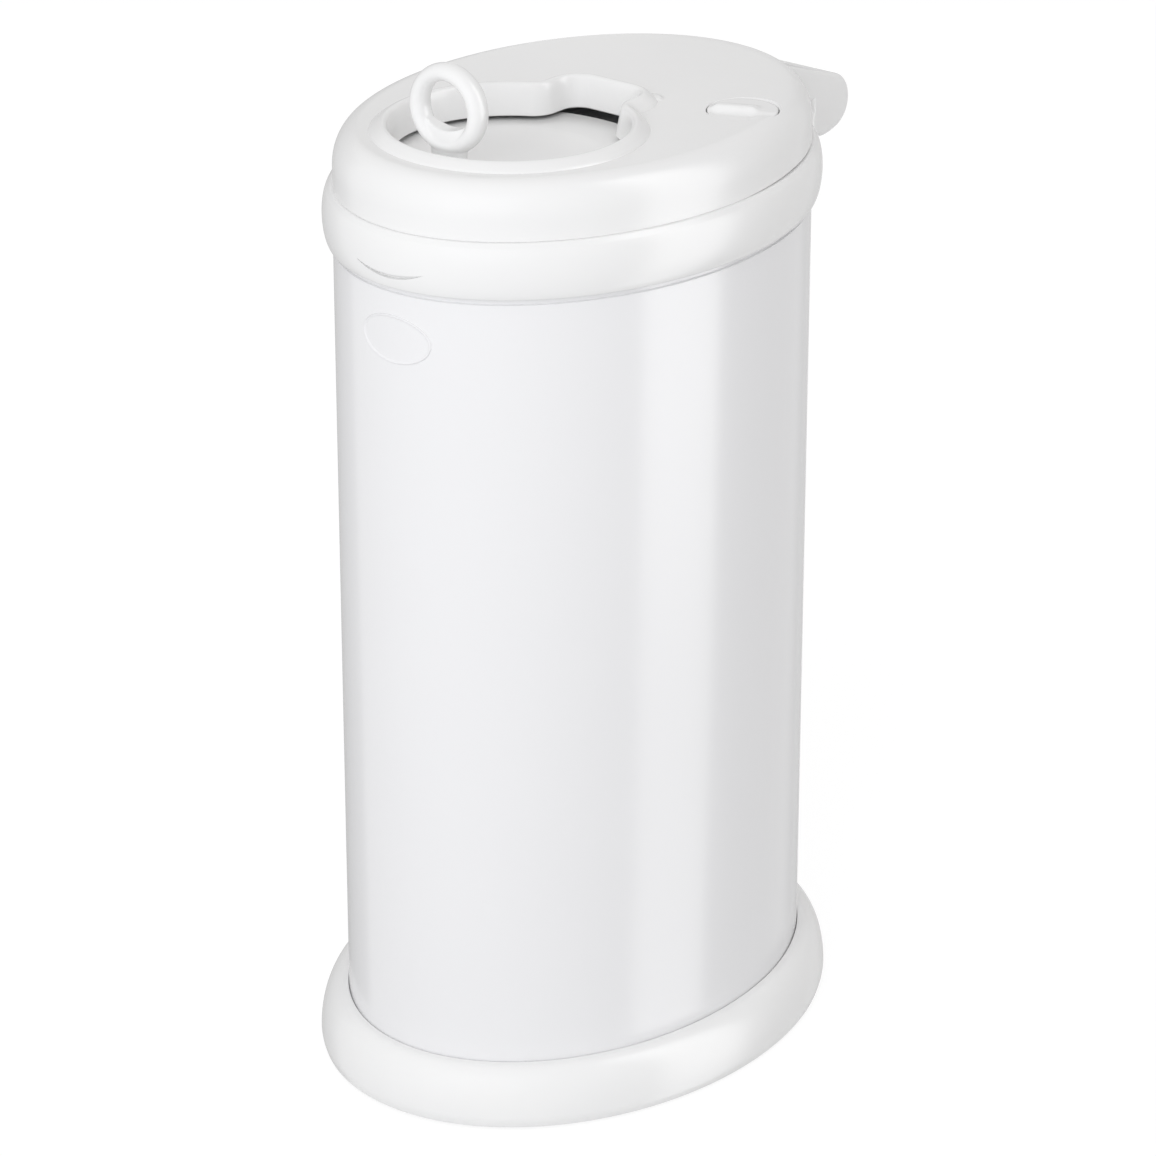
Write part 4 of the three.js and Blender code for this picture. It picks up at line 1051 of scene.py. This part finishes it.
# Handle. A ring on a waisted neck, one solid gloss white ABS moulding whose foot is screwed
# to the door; ring and neck run into each other with soft fillets.
handle_low, handle_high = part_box("handle_ring")
tube_radius = 4.7 * mm
tube_depth = 6.3 * mm
ring_radius = (handle_high.x - handle_low.x) / 2 - tube_radius
ring_z = handle_high.z - ring_radius - tube_radius
voxel = 0.55 * mm
neck_stations = [
    (14 * mm, 9 * mm, 0),
    (13.9 * mm, 8.9 * mm, 0.8 * mm),
    (12.8 * mm, 7.6 * mm, 2.7 * mm),
    (11.6 * mm, 6.3 * mm, 5.7 * mm),
    (11.2 * mm, 5.6 * mm, 9.7 * mm),
    (11.2 * mm, 5.2 * mm, 13.7 * mm),
    (11.5 * mm, 5.4 * mm, 16.7 * mm),
    (13.4 * mm, 5.6 * mm, 19.7 * mm),
    (16.8 * mm, 5.6 * mm, 22.7 * mm),
    (19.4 * mm, 5 * mm, 25.7 * mm),
    (19.6 * mm, 4 * mm, 29.7 * mm),
    (19.4 * mm, 3.4 * mm, 33.7 * mm),
]
hole_floor = 3.6 * mm
hole_sweep = 22.5 * mm
hole_reach = 12 * mm


def neck_ring(half_across, half_deep, rise):
    """Points round the neck, at a height above the handle's foot."""
    points = loop((0, handle_y), half_across, half_deep, 72)
    return [Vector((x, y, handle_low.z + rise)) for x, y in points]


handle_bm = lofted([neck_ring(*station) for station in neck_stations], closed=False)
sweep_z = ring_z - ring_radius + tube_radius + hole_floor + hole_sweep
finger_outline = loop((0, sweep_z), hole_sweep, hole_sweep, 96)
finger_places = [Vector((x, handle_y - hole_reach, z)) for x, z in finger_outline]
finger_hole = extruded(finger_places, (0, 2 * hole_reach, 0))
handle_bm = carved(handle_bm, finger_hole)
section = [
    Vector((ring_radius + x, handle_y + y, ring_z))
    for x, y in loop((0, 0), tube_radius, tube_depth, 40)
]
torus_bm = bmesh.new()
torus_verts = first_ring(torus_bm, section)
torus_edges = [torus_bm.edges.get(pair) for pair in zip(torus_verts, torus_verts[1:] + torus_verts[:1])]
full_spin(torus_bm, torus_verts + torus_edges, (0, handle_y, ring_z), (0, 1, 0), 96)
handle_bm = carved(handle_bm, torus_bm, "UNION")
handle_mesh = mesh_from(handle_bm, "handle_body")
blank = bpy.data.objects.new("handle_blank", handle_mesh)
bpy.context.scene.collection.objects.link(blank)
remesh = blank.modifiers.new("fuse", "REMESH")
remesh.mode = "VOXEL"
remesh.voxel_size = voxel
soften = blank.modifiers.new("soften", "SMOOTH")
soften.factor = 0.5
soften.iterations = 10
graph = bpy.context.evaluated_depsgraph_get()
handle_mesh = bpy.data.meshes.new_from_object(blank.evaluated_get(graph))
bpy.data.objects.remove(blank)
for vert in handle_mesh.vertices:
    vert.co.z = max(vert.co.z, handle_low.z)
handle_mesh.shade_smooth()
piece(handle_mesh, "handle_moulding", "door", ["handle_ring"], white_plastic)

# Lock dial. A round gloss white ABS knob in a well in the lid, level with the lid behind a
# finger ridge and scooped out in front of it; turning it swings the lever below.
ridge_turn = math.radians(25)
ridge_half = 1.2 * mm
ridge_slope = 7 * mm
ridge_length = 9 * mm
ridge_middle = -4 * mm
ridge_fade = 5 * mm
thumb_slope = 4.5 * mm
dial_floor = well_floor + clearance
dial_front = dial_floor + 1.5 * mm
dial_back = well_edge + 0.3 * mm
scoop_share = 0.6
dial_edge = 0.6 * mm
dial_steps = 120
hub_depth = 2.4 * mm


def ease(start, run, value):
    """A soft step from 0 to 1 over a run."""
    share = min(1, max(0, (value - start) / run))
    return share * share * (3 - 2 * share)


def dial_height(x, y):
    """The dial's top: a short ridge, a gentle fall to the rim behind it, and a steep one to
    the scoop in front."""
    off = -x * math.sin(ridge_turn) + y * math.cos(ridge_turn)
    along = abs(x * math.cos(ridge_turn) + y * math.sin(ridge_turn) - ridge_middle)
    end = ease(ridge_length, ridge_fade, along)
    crown = dial_high.z + (dial_back - dial_high.z) * end
    scoop = dial_front + scoop_share * (dial_back - dial_front) * end
    front = ease(ridge_half, thumb_slope, -off)
    back = ease(ridge_half, ridge_slope, off)
    return crown + (scoop - crown) * front + (dial_back - crown) * back


def dial_ring(share, drop=0):
    """Points of the dial's top at a share of its radius."""
    points = loop((0, 0), dial_radius * share, dial_radius * share, dial_steps)
    return [lock_axis + Vector((x, y, dial_height(x, y) - drop)) for x, y in points]


def dial_wall(radius, z):
    """Points round the dial's axis at a height."""
    return [lock_axis + Vector((x, y, z)) for x, y in loop((0, 0), radius, radius, dial_steps)]


lock_axis = Vector((lock_middle.x, lock_middle.y, 0))
lever_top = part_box("lock_lever")[1].z
dial_shares = (0.96, 0.9, 0.82, 0.74, 0.66, 0.58, 0.5, 0.42, 0.34, 0.26, 0.18, 0.1, 0.03)
dial_bm = lofted([
    dial_wall(hub_radius, lever_top - hub_depth),
    dial_wall(hub_radius, dial_floor),
    dial_wall(dial_radius - dial_edge, dial_floor),
    dial_wall(dial_radius, dial_floor + dial_edge),
    dial_ring(1, dial_edge),
    dial_ring(0.985, dial_edge / 4),
    *[dial_ring(share) for share in dial_shares],
], closed=False)
dial_mesh = mesh_from(dial_bm, "dial_body", 50)
piece(dial_mesh, "lock_knob", "lock", ["lock_dial"], white_plastic)

# Inner fittings. The rails and the lock's lever are grey polypropylene mouldings, the washer
# and stop leaf are plated spring steel; they work inside the lid and keep the CAD shapes.
keep_shape(("door_rail_left", "door_rail_right", "lock_lever"), grey_plastic)
keep_shape(("lock_washer", "lock_stop_leaf"), zinc)

# Floor. A plain white sweep; the camera and reflections see it near white, and it keeps a
# faint shadow under the skirt.
floor_half = 6
floor_bm = bmesh.new()
bmesh.ops.create_grid(floor_bm, x_segments=1, y_segments=1, size=floor_half)
floor = bpy.data.objects.new("floor", mesh_from(floor_bm, "floor"))
bpy.context.scene.collection.objects.link(floor)
floor_white = bpy.data.materials.new("white_sweep")
floor_white.use_nodes = True
floor_tree = floor_white.node_tree
floor_tree.nodes.clear()


def looked_at(tree):
    """1 for what the camera sees, directly, mirrored or through glass, and 0 for light that
    only falls on things."""
    path = node(tree, "ShaderNodeLightPath").outputs
    seen = path["Is Camera Ray"]
    for ray in ("Is Glossy Ray", "Is Transmission Ray"):
        seen = node(tree, "ShaderNodeMath", {0: seen, 1: path[ray]}, operation="MAXIMUM").outputs[0]
    return seen


seen = looked_at(floor_tree)
matt = node(floor_tree, "ShaderNodeBsdfDiffuse", {"Color": linear("#DCDCDC")})
matt_dim = node(floor_tree, "ShaderNodeBsdfDiffuse", {"Color": linear("#7A7A7A")})
glow = node(floor_tree, "ShaderNodeEmission", {"Color": linear("#FFFFFF"), "Strength": 0.86})
lit = node(floor_tree, "ShaderNodeAddShader", {0: matt_dim.outputs[0], 1: glow.outputs[0]})
choice = node(floor_tree, "ShaderNodeMixShader", {0: seen, 1: matt.outputs[0], 2: lit.outputs[0]})
node(floor_tree, "ShaderNodeOutputMaterial", {"Surface": choice.outputs[0]})
floor.data.materials.append(floor_white)
floor.visible_glossy = False

# Light. An even pale surround, a large soft key lamp in front, a tall bright card at the
# right that draws the long highlight down the tube, and two grey flags behind that darken its edges.
world = bpy.data.worlds.new("surround")
bpy.context.scene.world = world
world.use_nodes = True
world_tree = world.node_tree
world_tree.nodes.clear()
surround = node(world_tree, "ShaderNodeBackground", {"Color": linear("#FFFEFE"), "Strength": 0.71})
white = node(world_tree, "ShaderNodeBackground", {"Color": linear("#FFFFFF"), "Strength": 1})
world_mix = node(world_tree, "ShaderNodeMixShader", {
    0: looked_at(world_tree),
    1: surround.outputs[0],
    2: white.outputs[0],
})
node(world_tree, "ShaderNodeOutputWorld", {"Surface": world_mix.outputs[0]})


bin_middle = Vector((0, 0, 0.3))
card_low = -2.2
fade_low = -1
fade_high = -0.5


def lamp(name, place, size, power, colour):
    """A square soft lamp aimed at the middle of the bin."""
    data = bpy.data.lights.new(name, "AREA")
    data.size = size
    data.energy = power
    data.color = linear(colour)[:3]
    made = bpy.data.objects.new(name, data)
    made.location = place
    made.rotation_mode = "QUATERNION"
    made.rotation_quaternion = (bin_middle - Vector(place)).to_track_quat("-Z", "Y")
    bpy.context.scene.collection.objects.link(made)
    made.visible_camera = False
    made.visible_glossy = False


def card(name, turn, distance, half, high, glow_low, glow_high):
    """A tall upright card that only shows in reflections, its glow growing from foot level up."""
    way = Vector((math.cos(math.radians(turn)), math.sin(math.radians(turn)), 0))
    side = Vector((-way.y, way.x, 0)) * half
    middle = way * distance
    low_edge = Vector((0, 0, card_low))
    high_edge = Vector((0, 0, high))
    outline = [
        middle - side + low_edge,
        middle + side + low_edge,
        middle + side + high_edge,
        middle - side + high_edge,
    ]
    bm = bmesh.new()
    bm.faces.new([bm.verts.new(place) for place in outline])
    made = bpy.data.objects.new(name, mesh_from(bm, name))
    bpy.context.scene.collection.objects.link(made)
    glowing = bpy.data.materials.new(name)
    glowing.use_nodes = True
    glowing.cycles.emission_sampling = "NONE"
    tree = glowing.node_tree
    tree.nodes.clear()
    place = node(tree, "ShaderNodeTexCoord").outputs["Object"]
    height = node(tree, "ShaderNodeSeparateXYZ", {"Vector": place})
    strength = node(tree, "ShaderNodeMapRange", {
        "Value": height.outputs["Z"],
        "From Min": fade_low,
        "From Max": fade_high,
        "To Min": glow_low,
        "To Max": glow_high,
    })
    shine = strength.outputs["Result"]
    glow = node(tree, "ShaderNodeEmission", {"Color": linear("#FFFFFF"), "Strength": shine})
    node(tree, "ShaderNodeOutputMaterial", {"Surface": glow.outputs[0]})
    made.data.materials.append(glowing)
    made.visible_camera = False
    made.visible_diffuse = False
    made.visible_shadow = False


lamp("key", place=(1.05, -2.75, 1.6), size=2.5, power=43, colour="#FAFCFF")
card("bright_card", turn=24, distance=2.2, half=0.63, high=4, glow_low=2.9, glow_high=4.1)
card("left_flag", turn=158, distance=2.6, half=1.3, high=1.6, glow_low=0.5, glow_high=0.5)
card("right_flag", turn=111, distance=2.6, half=0.73, high=1.6, glow_low=0.7, glow_high=0.7)
